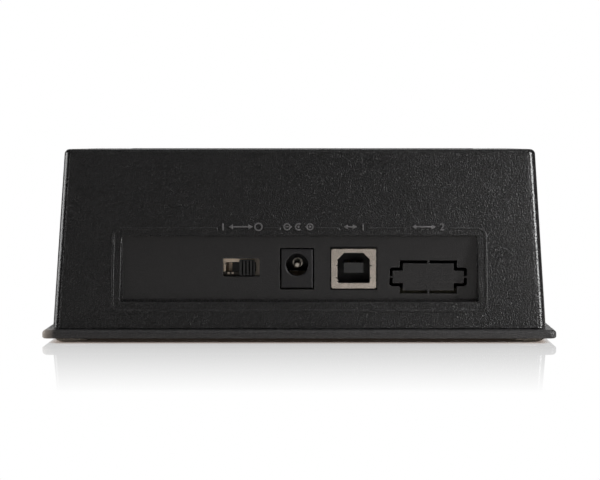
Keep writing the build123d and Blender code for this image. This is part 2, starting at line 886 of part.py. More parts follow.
# Dust flap
flap_heel = bay_front + flap_gap
flap_edge = bay_rear - flap_gap
knuckle_end_x = flap_half - knuckle_end_inset - knuckle_end_length / 2
knuckles = [
    (-knuckle_end_x, knuckle_end_length),
    (0, knuckle_middle_length),
    (knuckle_end_x, knuckle_end_length),
]
rib_z = flap_low - flap_rib_height
cross_rib_y = notch_front - flap_rib_thickness
long_rib_front = hinge_y + stop_near
long_rib_length = flap_edge - long_rib_front - flap_rib_thickness
long_rib_xs = (
    notch_x - notch_width / 2 - flap_rib_thickness,
    notch_side_x + flap_rib_thickness,
    middle_rib_x,
    flap_half - flap_rib_thickness,
)
stop_y = hinge_y + stop_near + stop_length / 2
stop_z = hinge_z - stop_drop

with BuildPart() as dust_flap:
    with BuildSketch(Plane.XY.offset(flap_low)):
        with Locations((0, (flap_heel + flap_edge) / 2)):
            RectangleRounded(2 * flap_half, flap_edge - flap_heel, flap_corner_radius)
        with Locations((notch_x, notch_front + notch_depth)):
            RectangleRounded(notch_width, 2 * notch_depth, notch_radius, mode=Mode.SUBTRACT)
    extrude(amount=flap_thickness)
    notch_rim = dust_flap.edges().group_by(Axis.Z)[-1].filter_by(
        lambda edge: abs(edge.center().X - notch_x) < notch_width / 2 + 0.1
        and edge.center().Y > notch_front - 0.1
    )
    chamfer(notch_rim, notch_chamfer)
    # stiffening ribs under the plate, starting clear of the knuckles
    with BuildSketch(Plane.XY.offset(rib_z)):
        with Locations((notch_x, cross_rib_y)):
            Rectangle(notch_width + 3 * flap_rib_thickness, flap_rib_thickness)
        for rib_x in long_rib_xs:
            with Locations((rib_x, long_rib_front + long_rib_length / 2)):
                Rectangle(flap_rib_thickness, long_rib_length)
    extrude(amount=flap_rib_height)
    # stops that catch under the edge of the roof
    with BuildSketch(Plane.XY.offset(stop_z)):
        for side in (-1, 1):
            with Locations((side * (flap_half + (stop_reach - stop_web) / 2), stop_y)):
                Rectangle(stop_reach + stop_web, stop_length)
    extrude(amount=bay_top - stop_z)
    with BuildSketch(Plane.XY.offset(stop_z)):
        for side in (-1, 1):
            with Locations((side * (flap_half - stop_web / 2), stop_y)):
                Rectangle(stop_web, stop_length)
    extrude(amount=flap_low - stop_z)
    # knuckles round the hinge pin
    for knuckle_x, knuckle_length in knuckles:
        with BuildSketch(Plane.YZ.offset(knuckle_x)):
            with Locations((hinge_y, hinge_z)):
                Circle(knuckle_radius)
            with Locations((hinge_y, hinge_z + hinge_drop / 2)):
                Rectangle(2 * knuckle_radius, hinge_drop)
        extrude(amount=knuckle_length / 2, both=True)
    with BuildSketch(Plane.YZ):
        with Locations((hinge_y, hinge_z)):
            Circle(hinge_pin_diameter / 2 + hinge_clearance)
    extrude(amount=case_width, both=True, mode=Mode.SUBTRACT)
dust_flap.part.label = "dust_flap"
export_step(dust_flap.part, "parts/dust_flap.step")


# Hinge pin
with BuildPart() as flap_hinge_pin:
    with BuildSketch(Plane.YZ):
        with Locations((hinge_y, hinge_z)):
            Circle(hinge_pin_diameter / 2)
    extrude(amount=bay_width / 2 + bay_wall, both=True)
    chamfer(flap_hinge_pin.edges().filter_by(GeomType.CIRCLE), hinge_pin_diameter / 6)
flap_hinge_pin.part.label = "flap_hinge_pin"
export_step(flap_hinge_pin.part, "parts/flap_hinge_pin.step")


# Torsion spring round the pin: one leg lies under the flap, the other bears on the frame's pad
spring_start = Plane(
    origin=(spring_x - spring_length / 2, hinge_y, hinge_z), x_dir=(0, 0, 1), z_dir=(1, 0, 0)
)
with BuildLine() as coil:
    Helix(spring_pitch, spring_length, spring_radius)
coil_path = coil.line.moved(spring_start.location)

with BuildPart() as flap_spring:
    with BuildSketch(Plane(origin=coil_path @ 0, z_dir=coil_path % 0)):
        RegularPolygon(spring_wire / 2, spring_wire_sides)
    sweep(path=coil_path)
    with BuildSketch(Plane(origin=coil_path @ 0, z_dir=(0, 1, 0))):
        RegularPolygon(spring_wire / 2, spring_wire_sides)
    extrude(amount=spring_leg)
    with BuildSketch(Plane(origin=coil_path @ 1, z_dir=(0, 0, -1))):
        RegularPolygon(spring_wire / 2, spring_wire_sides)
    extrude(amount=spring_leg)
flap_spring.part.label = "flap_spring"
export_step(flap_spring.part, "parts/flap_spring.step")


# Serial ATA receptacle: a short signal slot and a long power slot, each with a keyed end
signal_span = (signal_contacts - 1) * contact_pitch
power_span = (power_contacts - 1) * contact_pitch
first_contact_x = receptacle_x - (signal_span + segment_gap + power_span) / 2
segments = [
    (first_contact_x + signal_span / 2, signal_span),
    (first_contact_x + signal_span + segment_gap + power_span / 2, power_span),
]
receptacle_top = board_z + receptacle_height
slot_floor = receptacle_top - receptacle_slot_depth
slot_front_y = receptacle_y - receptacle_slot / 2
receptacle_front_y = receptacle_y - receptacle_depth / 2
end_pocket = (receptacle_length - signal_span - power_span - segment_gap) / 2 - 2 * segment_end
tail_room = 2 * contact_thickness

with BuildPart() as sata_receptacle:
    with BuildSketch(Plane.XY.offset(board_z)):
        with Locations((receptacle_x, receptacle_y)):
            Rectangle(receptacle_length, receptacle_depth)
    extrude(amount=receptacle_height)
    chamfer(sata_receptacle.edges().group_by(Axis.Z)[-1], receptacle_slot / 4)
    with BuildSketch(Plane.XY.offset(slot_floor)):
        for segment_x, span in segments:
            slot_length = span + 2 * segment_end
            with Locations((segment_x, receptacle_y)):
                Rectangle(slot_length, receptacle_slot)
            key_x = segment_x - slot_length / 2 + receptacle_key / 2
            with Locations((key_x, receptacle_y + receptacle_key / 2)):
                Rectangle(receptacle_key, receptacle_slot + receptacle_key)
        for side in (-1, 1):
            with Locations((receptacle_x + side * (receptacle_length - end_pocket) / 2, receptacle_y)):
                Rectangle(end_pocket, receptacle_depth / 2)
    extrude(amount=receptacle_slot_depth, mode=Mode.SUBTRACT)
    # slits and an underside channel for the contacts and their solder tails
    with BuildSketch(Plane.XY.offset(board_z)):
        for segment_x, span in segments:
            with Locations((segment_x, slot_front_y + contact_thickness)):
                Rectangle(span + contact_pitch, 2 * contact_thickness)
    extrude(amount=receptacle_height - receptacle_slot_depth, mode=Mode.SUBTRACT)
    with BuildSketch(Plane.XY.offset(board_z)):
        for segment_x, span in segments:
            with Locations((segment_x, (slot_front_y + receptacle_front_y) / 2)):
                Rectangle(span + contact_pitch, slot_front_y - receptacle_front_y)
    extrude(amount=tail_room, mode=Mode.SUBTRACT)
sata_receptacle.part.label = "sata_receptacle"
export_step(sata_receptacle.part, "parts/sata_receptacle.step")


# Its contacts, each bent forwards to a solder tail on the board
contact_y = slot_front_y + contact_thickness / 2
tail_z = board_z + contact_thickness / 2
contact_top = receptacle_top - receptacle_slot / 2
tail_end_y = receptacle_front_y - contact_tail
contact_xs = [first_contact_x + step * contact_pitch for step in range(signal_contacts)]
contact_xs += [
    first_contact_x + signal_span + segment_gap + step * contact_pitch
    for step in range(power_contacts)
]
with BuildPart() as sata_contacts:
    for contact_x in contact_xs:
        with BuildSketch(Plane.YZ.offset(contact_x)):
            with BuildLine():
                Polyline((contact_y, contact_top), (contact_y, tail_z), (tail_end_y, tail_z))
            trace(line_width=contact_thickness)
        extrude(amount=contact_width / 2, both=True)
sata_contacts.part.label = "sata_contacts"
export_step(sata_contacts.part, "parts/sata_contacts.step")


# USB type B socket
usb_middle_z = board_z + usb_height / 2
usb_mouth_z = board_z + usb_mouth_height_above_board


def usb_mouth(grow):
    """The socket's mouth on the panel plane: top corners cut off, bottom ones rounded."""
    with BuildSketch(rear_view(panel_y)) as mouth:
        with Locations((-usb_x, usb_mouth_z)):
            Rectangle(usb_mouth_width + 2 * grow, usb_mouth_height + 2 * grow)
        chamfer(mouth.vertices().group_by(Axis.Y)[-1], usb_mouth_chamfer)
        fillet(mouth.vertices().group_by(Axis.Y)[0], usb_mouth_corner_radius)
    return mouth.sketch


with BuildPart() as usb_shell:
    with BuildSketch(rear_view(usb_back)):
        with Locations((-usb_x, usb_middle_z)):
            RectangleRounded(usb_width, usb_height, usb_corner_radius)
    extrude(amount=usb_length)
    with BuildSketch(rear_view(usb_back)):
        with Locations((-usb_x, usb_middle_z)):
            RectangleRounded(
                usb_width - 2 * usb_sheet,
                usb_height - 2 * usb_sheet,
                usb_corner_radius - usb_sheet,
            )
    extrude(amount=usb_length - usb_sheet, mode=Mode.SUBTRACT)
    extrude(usb_mouth(0), amount=-2 * usb_sheet, mode=Mode.SUBTRACT)
    # slits beside the mouth, where its spring fingers are cut free
    with BuildSketch(rear_view(panel_y)):
        with Locations((-usb_x, board_z + usb_slit_middle)):
            with GridLocations(1, usb_slit_spread, 1, 2):
                Rectangle(usb_mouth_width + 2 * usb_slit_reach, usb_slit_height)
    extrude(amount=-usb_sheet, mode=Mode.SUBTRACT)
    # open under the contact tails
    with BuildSketch(Plane.XY.offset(board_z)):
        with Locations((usb_x, usb_back + usb_back_room / 2)):
            Rectangle(usb_width - 2 * usb_corner_radius, usb_back_room)
    extrude(amount=usb_sheet, mode=Mode.SUBTRACT)
    # tabs soldered into the board
    with BuildSketch(Plane.XY.offset(lead_end_z)):
        with Locations((usb_x - usb_tab_x, usb_tab_y), (usb_x + usb_tab_x, usb_tab_y)):
            Rectangle(usb_sheet, usb_tab_width)
    extrude(amount=board_z + usb_corner_radius - lead_end_z)
usb_shell.part.label = "usb_shell"
export_step(usb_shell.part, "parts/usb_shell.step")

insert_inset = usb_sheet + usb_insert_clearance
tongue_root_y = panel_y - usb_mouth_depth
contact_front_y = panel_y - 2 * usb_tongue_recess
tongue_levels = [usb_mouth_z + side * (usb_tongue_height - usb_contact_thickness) / 2 for side in (1, -1)]

with BuildPart() as usb_insert:
    with BuildSketch(rear_view(usb_insert_back)):
        with Locations((-usb_x, usb_middle_z)):
            RectangleRounded(
                usb_width - 2 * insert_inset,
                usb_height - 2 * insert_inset,
                usb_corner_radius - usb_sheet,
            )
    extrude(amount=panel_y - insert_inset - usb_insert_back)
    extrude(usb_mouth(2 * usb_insert_clearance), amount=-usb_mouth_depth, mode=Mode.SUBTRACT)
    with BuildSketch(rear_view(tongue_root_y)):
        with Locations((-usb_x, usb_mouth_z)):
            Rectangle(usb_tongue_width, usb_tongue_height)
    extrude(amount=usb_mouth_depth - usb_tongue_recess)
    # grooves that run through the back and along the tongue for the contacts
    with BuildSketch(rear_view(usb_insert_back)):
        for level in tongue_levels:
            with Locations((-usb_x, level)):
                with GridLocations(usb_contact_pitch, 1, 2, 1):
                    Rectangle(
                        usb_contact_width + 2 * usb_insert_clearance,
                        usb_contact_thickness + 2 * usb_insert_clearance,
                    )
    extrude(amount=contact_front_y + usb_insert_clearance - usb_insert_back, mode=Mode.SUBTRACT)
usb_insert.part.label = "usb_insert"
export_step(usb_insert.part, "parts/usb_insert.step")

with BuildPart() as usb_contacts:
    for level, tail_y in zip(tongue_levels, usb_tail_ys):
        for side in (-1, 1):
            with BuildSketch(Plane.YZ.offset(usb_x + side * usb_contact_pitch / 2)):
                with BuildLine():
                    Polyline(
                        (contact_front_y, level),
                        (tail_y, level),
                        (tail_y, lead_end_z),
                    )
                trace(line_width=usb_contact_thickness)
            extrude(amount=usb_contact_width / 2, both=True)
usb_contacts.part.label = "usb_contacts"
export_step(usb_contacts.part, "parts/usb_contacts.step")


# Power jack
jack_floor_y = panel_y - jack_bore_depth
jack_channel_z = jack_z - jack_spring_drop
jack_spring_z = jack_channel_z + jack_spring_thickness
jack_channel_width = jack_spring_width + 2 * jack_spring_side_gap
jack_channel_length = panel_y - jack_spring_mouth - jack_channel_back

with BuildPart() as power_jack_housing:
    with BuildSketch(rear_view(jack_back)):
        with Locations((-jack_x, board_z + jack_height / 2)):
            Rectangle(jack_width, jack_height)
    extrude(amount=jack_length)
    fillet(power_jack_housing.edges().group_by(Axis.Y)[-1], jack_edge_radius)
    with BuildSketch(rear_view(jack_floor_y)):
        with Locations((-jack_x, jack_z)):
            Circle(jack_bore / 2)
    extrude(amount=jack_bore_depth, mode=Mode.SUBTRACT)
    mouth_edge = power_jack_housing.edges().filter_by(GeomType.CIRCLE).sort_by(Axis.Y)[-1]
    chamfer(mouth_edge, jack_edge_radius / 2)
    with BuildSketch(rear_view(jack_back)):
        with Locations((-jack_x, jack_z)):
            Circle(jack_pin_diameter / 2)
    extrude(amount=jack_length - jack_bore_depth, mode=Mode.SUBTRACT)
    # channel under the bore for the spring, with a slot down to the board
    with BuildSketch(rear_view(jack_channel_back)):
        with Locations((-jack_x, (jack_channel_z + jack_z) / 2)):
            Rectangle(jack_channel_width, jack_z - jack_channel_z)
    extrude(amount=jack_channel_length, mode=Mode.SUBTRACT)
    with BuildSketch(Plane.XY.offset(board_z)):
        with Locations((jack_x, jack_leg_y)):
            Rectangle(jack_channel_width, 2 * jack_spring_thickness)
    extrude(amount=jack_channel_z - board_z, mode=Mode.SUBTRACT)
power_jack_housing.part.label = "power_jack_housing"
export_step(power_jack_housing.part, "parts/power_jack_housing.step")

with BuildPart() as power_jack_pin:
    with BuildSketch(rear_view(jack_back)):
        with Locations((-jack_x, jack_z)):
            Circle(jack_pin_diameter / 2)
    extrude(amount=jack_length - jack_pin_recess)
    fillet(power_jack_pin.edges().group_by(Axis.Y)[-1], jack_pin_diameter / 4)
    with BuildSketch(rear_view(jack_floor_y)):
        with Locations((-jack_x, jack_z)):
            Circle(jack_collar_diameter / 2)
    extrude(amount=jack_collar_length)
    with BuildSketch(Plane.XY.offset(lead_end_z)):
        with Locations((jack_x, jack_tail_y)):
            Rectangle(jack_tail_width, jack_tail)
    extrude(amount=jack_z + jack_collar_diameter / 2 - lead_end_z)
power_jack_pin.part.label = "power_jack_pin"
export_step(power_jack_pin.part, "parts/power_jack_pin.step")

with BuildPart() as power_jack_spring:
    with BuildSketch(Plane.YZ.offset(jack_x)):
        with BuildLine():
            Polyline(
                (jack_leg_y, lead_end_z),
                (jack_leg_y, jack_spring_z),
                (jack_floor_y, jack_spring_z),
                (panel_y - jack_bore_depth / 2, jack_z - jack_spring_offset),
                (panel_y - jack_bore_depth / 4, jack_spring_z),
            )
        trace(line_width=jack_spring_thickness)
    extrude(amount=jack_spring_width / 2, both=True)
power_jack_spring.part.label = "power_jack_spring"
export_step(power_jack_spring.part, "parts/power_jack_spring.step")


# Slide switch: metal frame, insulating base, terminals, slider with its wiper, and the ribbed knob
window_width = switch_stem_width + switch_travel + 2 * switch_clearance + switch_window_spare
window_height = switch_stem_height + 2 * switch_clearance
frame_inner_width = switch_frame_width - 2 * switch_sheet
frame_inner_height = switch_frame_height - 2 * switch_sheet
rest_x = switch_x - switch_travel / 2
slider_front = switch_front - switch_sheet - switch_clearance
slider_back = slider_front - slider_base_thickness
pads_y = slider_back - slider_spring_gap
base_front = pads_y - terminal_thickness
knob_back = switch_front + switch_clearance
knob_front = panel_y + knob_proud

with BuildPart() as switch_frame:
    with BuildSketch(rear_view(switch_back)):
        with Locations((-switch_x, switch_z)):
            RectangleRounded(switch_frame_width, switch_frame_height, switch_sheet)
    extrude(amount=switch_frame_depth)
    with BuildSketch(rear_view(switch_back)):
        with Locations((-switch_x, switch_z)):
            Rectangle(frame_inner_width, frame_inner_height)
    extrude(amount=switch_frame_depth - switch_sheet, mode=Mode.SUBTRACT)
    with BuildSketch(rear_view(switch_front)):
        with Locations((-switch_x - switch_window_spare / 2, switch_z)):
            Rectangle(window_width, window_height)
    extrude(amount=-2 * switch_sheet, mode=Mode.SUBTRACT)
    with BuildSketch(Plane.XY.offset(lead_end_z)):
        with Locations(*[(switch_x + side * switch_leg_x, switch_leg_y) for side in (-1, 1)]):
            Rectangle(switch_sheet, switch_leg)
    extrude(amount=switch_z - switch_frame_height / 2 + switch_sheet - lead_end_z)
switch_frame.part.label = "switch_frame"
export_step(switch_frame.part, "parts/switch_frame.step")

terminal_z = switch_z - terminal_width
with BuildPart() as switch_base:
    with BuildSketch(rear_view(switch_back)):
        with Locations((-switch_x, switch_z)):
            Rectangle(frame_inner_width - switch_clearance, frame_inner_height - switch_clearance)
        with Locations(*[(-x, terminal_z) for x in terminal_xs]):
            Rectangle(
                terminal_width + switch_clearance,
                terminal_thickness + switch_clearance,
                mode=Mode.SUBTRACT,
            )
    extrude(amount=base_front - switch_back)
switch_base.part.label = "switch_base"
export_step(switch_base.part, "parts/switch_base.step")

with BuildPart() as switch_terminals:
    for terminal_x in terminal_xs:
        with BuildSketch(Plane.YZ.offset(terminal_x)):
            with BuildLine():
                Polyline(
                    (pads_y - terminal_thickness / 2, switch_z + terminal_width),
                    (pads_y - terminal_thickness / 2, terminal_z),
                    (terminal_y, terminal_z),
                    (terminal_y, lead_end_z),
                )
            trace(line_width=terminal_thickness)
        extrude(amount=terminal_width / 2, both=True)
switch_terminals.part.label = "switch_terminals"
export_step(switch_terminals.part, "parts/switch_terminals.step")

tip_width = switch_stem_width - 2 * knob_wall
tip_height = switch_stem_height - knob_wall
tip_length = knob_front - knob_back - 2 * knob_wall
with BuildPart() as switch_slider:
    with BuildSketch(rear_view(slider_back)):
        with Locations((-rest_x, switch_z)):
            Rectangle(slider_base_width, frame_inner_height - 2 * switch_clearance)
    extrude(amount=slider_base_thickness)
    with BuildSketch(rear_view(slider_front)):
        with Locations((-rest_x, switch_z)):
            Rectangle(switch_stem_width, switch_stem_height)
    extrude(amount=knob_back - slider_front)
    with BuildSketch(rear_view(knob_back)):
        with Locations((-rest_x, switch_z)):
            Rectangle(tip_width, tip_height)
    extrude(amount=tip_length)
switch_slider.part.label = "switch_slider"
export_step(switch_slider.part, "parts/switch_slider.step")

with BuildPart() as switch_knob:
    with BuildSketch(rear_view(knob_back)):
        with Locations((-rest_x, switch_z)):
            Rectangle(knob_width, knob_height)
    extrude(amount=knob_front - knob_back)
    with BuildSketch(rear_view(knob_back)):
        with Locations((-rest_x, switch_z)):
            Rectangle(tip_width, tip_height)
    extrude(amount=tip_length, mode=Mode.SUBTRACT)
    # upright grip grooves
    with BuildSketch(rear_view(knob_front)):
        with Locations((knob_groove_shift - rest_x, switch_z)):
            with GridLocations(knob_groove_pitch, 1, knob_grooves, 1):
                Rectangle(knob_groove, 2 * knob_height)
    extrude(amount=-knob_groove_depth, mode=Mode.SUBTRACT)
switch_knob.part.label = "switch_knob"
export_step(switch_knob.part, "parts/switch_knob.step")

# the wiper bridges two neighbouring terminals: flat in the middle, with a foot for each
wiper_y = slider_back - wiper_thickness / 2
wiper_pad_y = pads_y + hinge_clearance + wiper_thickness / 2
foot_inner = terminal_pitch / 2 - terminal_width / 4
foot_outer = terminal_pitch / 2 + terminal_width / 4
with BuildPart() as switch_contact:
    with BuildSketch(Plane.XY.offset(switch_z)):
        with BuildLine():
            Polyline(
                (rest_x - foot_outer - terminal_width / 2, (wiper_y + wiper_pad_y) / 2),
                (rest_x - foot_outer, wiper_pad_y),
                (rest_x - foot_inner, wiper_pad_y),
                (rest_x - foot_inner / 2, wiper_y),
                (rest_x + foot_inner / 2, wiper_y),
                (rest_x + foot_inner, wiper_pad_y),
                (rest_x + foot_outer, wiper_pad_y),
                (rest_x + foot_outer + terminal_width / 2, (wiper_y + wiper_pad_y) / 2),
            )
        trace(line_width=wiper_thickness)
    extrude(amount=terminal_width, both=True)
switch_contact.part.label = "switch_contact"
export_step(switch_contact.part, "parts/switch_contact.step")


# Light pipe, and the lamp behind it on bent leads
with BuildPart() as light_pipe:
    with BuildSketch(Plane.XZ.offset(-pipe_seat_y)):
        with Locations((0, pipe_z)):
            Circle(pipe_diameter / 2)
    extrude(amount=half_depth(pipe_z) + pipe_proud + pipe_seat_y)
    chamfer(light_pipe.edges().group_by(Axis.Y)[0], pipe_nose_chamfer)
    with BuildSketch(Plane.XZ.offset(-pipe_seat_y)):
        with Locations((0, pipe_z)):
            Circle(pipe_flange_diameter / 2)
    extrude(amount=-pipe_flange)
light_pipe.part.label = "light_pipe"
export_step(light_pipe.part, "parts/light_pipe.step")

with BuildPart() as status_lamp:
    with BuildSketch(Plane.XZ.offset(-lamp_back_y)):
        with Locations((0, pipe_z)):
            Circle(lamp_diameter / 2)
    extrude(amount=lamp_back_y - lamp_tip_y)
    fillet(status_lamp.edges().group_by(Axis.Y)[0], lamp_nose_radius)
    with BuildSketch(Plane.XZ.offset(-lamp_back_y)):
        with Locations((0, pipe_z)):
            Circle(lamp_flange_diameter / 2)
    extrude(amount=lamp_flange)
status_lamp.part.label = "status_lamp"
export_step(status_lamp.part, "parts/status_lamp.step")

with BuildPart() as status_lamp_leads:
    for lead_x in lamp_lead_xs:
        with BuildSketch(Plane.YZ.offset(lead_x)):
            with BuildLine():
                FilletPolyline(
                    (lamp_back_y, pipe_z),
                    (lamp_lead_y, pipe_z),
                    (lamp_lead_y, lead_end_z),
                    radius=2 * lamp_lead,
                )
            trace(line_width=lamp_lead)
        extrude(amount=lamp_lead / 2, both=True)
status_lamp_leads.part.label = "status_lamp_leads"
export_step(status_lamp_leads.part, "parts/status_lamp_leads.step")


# Bridge chip: a square package with bent leads on its four sides
chip_low = board_z + chip_standoff
chip_lead_z = chip_low + chip_height / 2
with BuildPart() as chip_lead_row:
    for step in range(chip_leads_per_side):
        lead_x = (step - (chip_leads_per_side - 1) / 2) * chip_lead_pitch
        with BuildSketch(Plane.YZ.offset(lead_x)):
            with BuildLine():
                Polyline(
                    (chip_size / 2, chip_lead_z),
                    (chip_size / 2 + chip_lead_reach / 2, chip_lead_z),
                    (chip_size / 2 + chip_lead_reach / 2, board_z + chip_standoff / 2),
                    (chip_size / 2 + chip_lead_reach, board_z + chip_standoff / 2),
                )
            trace(line_width=chip_standoff)
        extrude(amount=chip_lead_width / 2, both=True)

with BuildPart() as bridge_chip:
    with BuildSketch(Plane.XY.offset(chip_low)):
        with Locations((chip_x, chip_y)):
            Rectangle(chip_size, chip_size)
    extrude(amount=chip_height)
    chamfer(bridge_chip.edges().group_by(Axis.Z)[-1], chip_height / 4)
    with Locations((chip_x, chip_y)):
        with PolarLocations(0, 4):
            add(chip_lead_row.part)
bridge_chip.part.label = "bridge_chip"
export_step(bridge_chip.part, "parts/bridge_chip.step")


# Filter capacitors behind the bay
with BuildPart() as filter_capacitors:
    with BuildSketch(Plane.XY.offset(board_z)) as capacitor_bases:
        with Locations(*capacitor_points):
            Rectangle(capacitor_base, capacitor_base)
        chamfer(capacitor_bases.vertices().group_by(Axis.Y)[-1], capacitor_base / 6)
    extrude(amount=capacitor_base_height)
    with BuildSketch(Plane.XY.offset(board_z)):
        with Locations(*capacitor_points):
            Circle(capacitor_diameter / 2)
    extrude(amount=capacitor_height)
    chamfer(filter_capacitors.edges().group_by(Axis.Z)[-1], capacitor_base_height / 2)
filter_capacitors.part.label = "filter_capacitors"
export_step(filter_capacitors.part, "parts/filter_capacitors.step")


# Power inductor
with BuildPart() as power_inductor:
    with BuildSketch(Plane.XY.offset(board_z)):
        with Locations((inductor_x, rear_strip_y)):
            RectangleRounded(inductor_size, inductor_size, inductor_size / 6)
    extrude(amount=inductor_height)
    with BuildSketch(Plane.XY.offset(board_z + inductor_height)):
        with Locations((inductor_x, rear_strip_y)):
            Circle(inductor_groove_diameter / 2)
            Circle(inductor_groove_diameter / 2 - inductor_groove, mode=Mode.SUBTRACT)
    extrude(amount=-inductor_groove, mode=Mode.SUBTRACT)
power_inductor.part.label = "power_inductor"
export_step(power_inductor.part, "parts/power_inductor.step")


# Crystal can
with BuildPart() as crystal:
    with BuildSketch(Plane.XY.offset(board_z)):
        with Locations((crystal_x, front_strip_y)):
            SlotOverall(crystal_length, crystal_width)
    extrude(amount=crystal_height)
    chamfer(crystal.edges().group_by(Axis.Z)[-1], crystal_rim)
    with BuildSketch(Plane.XY.offset(board_z)):
        with Locations((crystal_x, front_strip_y)):
            SlotOverall(crystal_length + 2 * crystal_rim, crystal_width + 2 * crystal_rim)
    extrude(amount=crystal_rim)
crystal.part.label = "crystal"
export_step(crystal.part, "parts/crystal.step")


# Voltage regulator with its heat tab
with BuildPart() as voltage_regulator:
    with BuildSketch(Plane.XY.offset(board_z)):
        with Locations((regulator_x, front_strip_y)):
            Rectangle(regulator_width, regulator_length)
    extrude(amount=regulator_height)
    chamfer(voltage_regulator.edges().group_by(Axis.Z)[-1], regulator_height / 6)
    with BuildSketch(Plane.XY.offset(board_z)):
        with Locations((regulator_x, front_strip_y + regulator_length / 2)):
            Rectangle(regulator_tab_width, 2 * regulator_tab)
        with Locations((regulator_x, front_strip_y - regulator_length / 2)):
            with GridLocations(regulator_lead_pitch, 1, regulator_leads, 1):
                Rectangle(regulator_lead_width, 2 * regulator_lead_reach)
    extrude(amount=regulator_tab_thickness)
voltage_regulator.part.label = "voltage_regulator"
export_step(voltage_regulator.part, "parts/voltage_regulator.step")
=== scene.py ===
"""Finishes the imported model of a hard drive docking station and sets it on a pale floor.

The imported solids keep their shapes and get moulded, plated and printed finishes. The raised marks
over the sockets, the screws with their threads and cross recesses, and the flap's spring are
modelled here. Sizes are in metres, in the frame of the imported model: +Z up, +Y towards the back.
"""

import json
import math

import bmesh
import bpy
from mathutils import Matrix, Vector
from mathutils.bvhtree import BVHTree


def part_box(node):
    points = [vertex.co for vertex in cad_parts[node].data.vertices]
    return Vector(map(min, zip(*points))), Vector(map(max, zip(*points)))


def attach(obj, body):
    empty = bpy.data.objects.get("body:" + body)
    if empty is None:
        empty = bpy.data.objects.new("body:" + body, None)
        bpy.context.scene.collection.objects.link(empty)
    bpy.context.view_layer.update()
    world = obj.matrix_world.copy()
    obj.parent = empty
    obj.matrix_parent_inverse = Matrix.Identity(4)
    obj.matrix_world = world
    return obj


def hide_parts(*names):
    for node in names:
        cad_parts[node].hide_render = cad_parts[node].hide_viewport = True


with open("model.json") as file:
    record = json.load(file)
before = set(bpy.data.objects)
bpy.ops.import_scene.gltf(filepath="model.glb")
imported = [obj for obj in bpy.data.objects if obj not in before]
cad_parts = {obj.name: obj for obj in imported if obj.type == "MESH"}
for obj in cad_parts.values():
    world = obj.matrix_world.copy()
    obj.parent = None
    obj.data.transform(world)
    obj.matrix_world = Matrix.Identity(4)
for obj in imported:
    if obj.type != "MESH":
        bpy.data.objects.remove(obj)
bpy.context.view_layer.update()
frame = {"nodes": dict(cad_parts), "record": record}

bl_info = {
    "name": "Docking Station Finishes",
    "version": (1, 0, 0),
    "blender": (4, 5, 0),
    "location": "View3D > Sidebar > Dock",
    "description": "Moulded, plated and printed finishes for a hard drive docking station",
    "category": "Object",
}

MM = 0.001
SLOT_COLORS = {entry["slot"]: entry["base_color"] for entry in frame["record"]["materials"]}


def middle_of(name):
    """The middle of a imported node's box."""
    low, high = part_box(name)
    return (low + high) / 2


# Sizes and colours that a user can change


class CaseFinish(bpy.types.PropertyGroup):
    """The moulded case"""

    plastic: bpy.props.FloatVectorProperty(
        name="Plastic",
        description="Colour of the case's plastic",
        default=SLOT_COLORS["case_plastic"],
        subtype="COLOR",
        min=0,
        max=1,
    )
    grain: bpy.props.FloatProperty(
        name="Grain",
        description="Size of the bumps in the case's texture",
        default=0.31 * MM,
        unit="LENGTH",
    )
    grain_depth: bpy.props.FloatProperty(
        name="Grain Depth",
        description="How far the texture's bumps stand up",
        default=0.165 * MM,
        unit="LENGTH",
    )
    soft_edge: bpy.props.FloatProperty(
        name="Soft Edge",
        description="Radius at which a moulded edge catches light",
        default=0.2 * MM,
        unit="LENGTH",
    )


class MarkShape(bpy.types.PropertyGroup):
    """The raised marks over the sockets"""

    height: bpy.props.FloatProperty(
        name="Height", description="Height of a mark on the wall", default=2.3 * MM, unit="LENGTH"
    )
    stroke: bpy.props.FloatProperty(
        name="Stroke", description="Width of a mark's lines", default=0.38 * MM, unit="LENGTH"
    )
    proud: bpy.props.FloatProperty(
        name="Proud", description="How far a mark stands off the wall", default=0.3 * MM, unit="LENGTH"
    )
    middle_z: bpy.props.FloatProperty(
        name="Middle", description="Height of the marks above the table", default=30.7 * MM, unit="LENGTH"
    )


class ScrewShape(bpy.types.PropertyGroup):
    """Threads and cross recesses of the screws"""

    thread_pitch: bpy.props.FloatProperty(
        name="Thread Pitch",
        description="Distance from one turn of the thread to the next",
        default=1.1 * MM,
        unit="LENGTH",
    )
    thread_depth: bpy.props.FloatProperty(
        name="Thread Depth",
        description="Depth of the thread as a share of the shank's radius",
        default=0.2,
        subtype="FACTOR",
    )
    recess: bpy.props.FloatProperty(
        name="Recess",
        description="Width of the cross recess as a share of the head",
        default=0.56,
        subtype="FACTOR",
    )


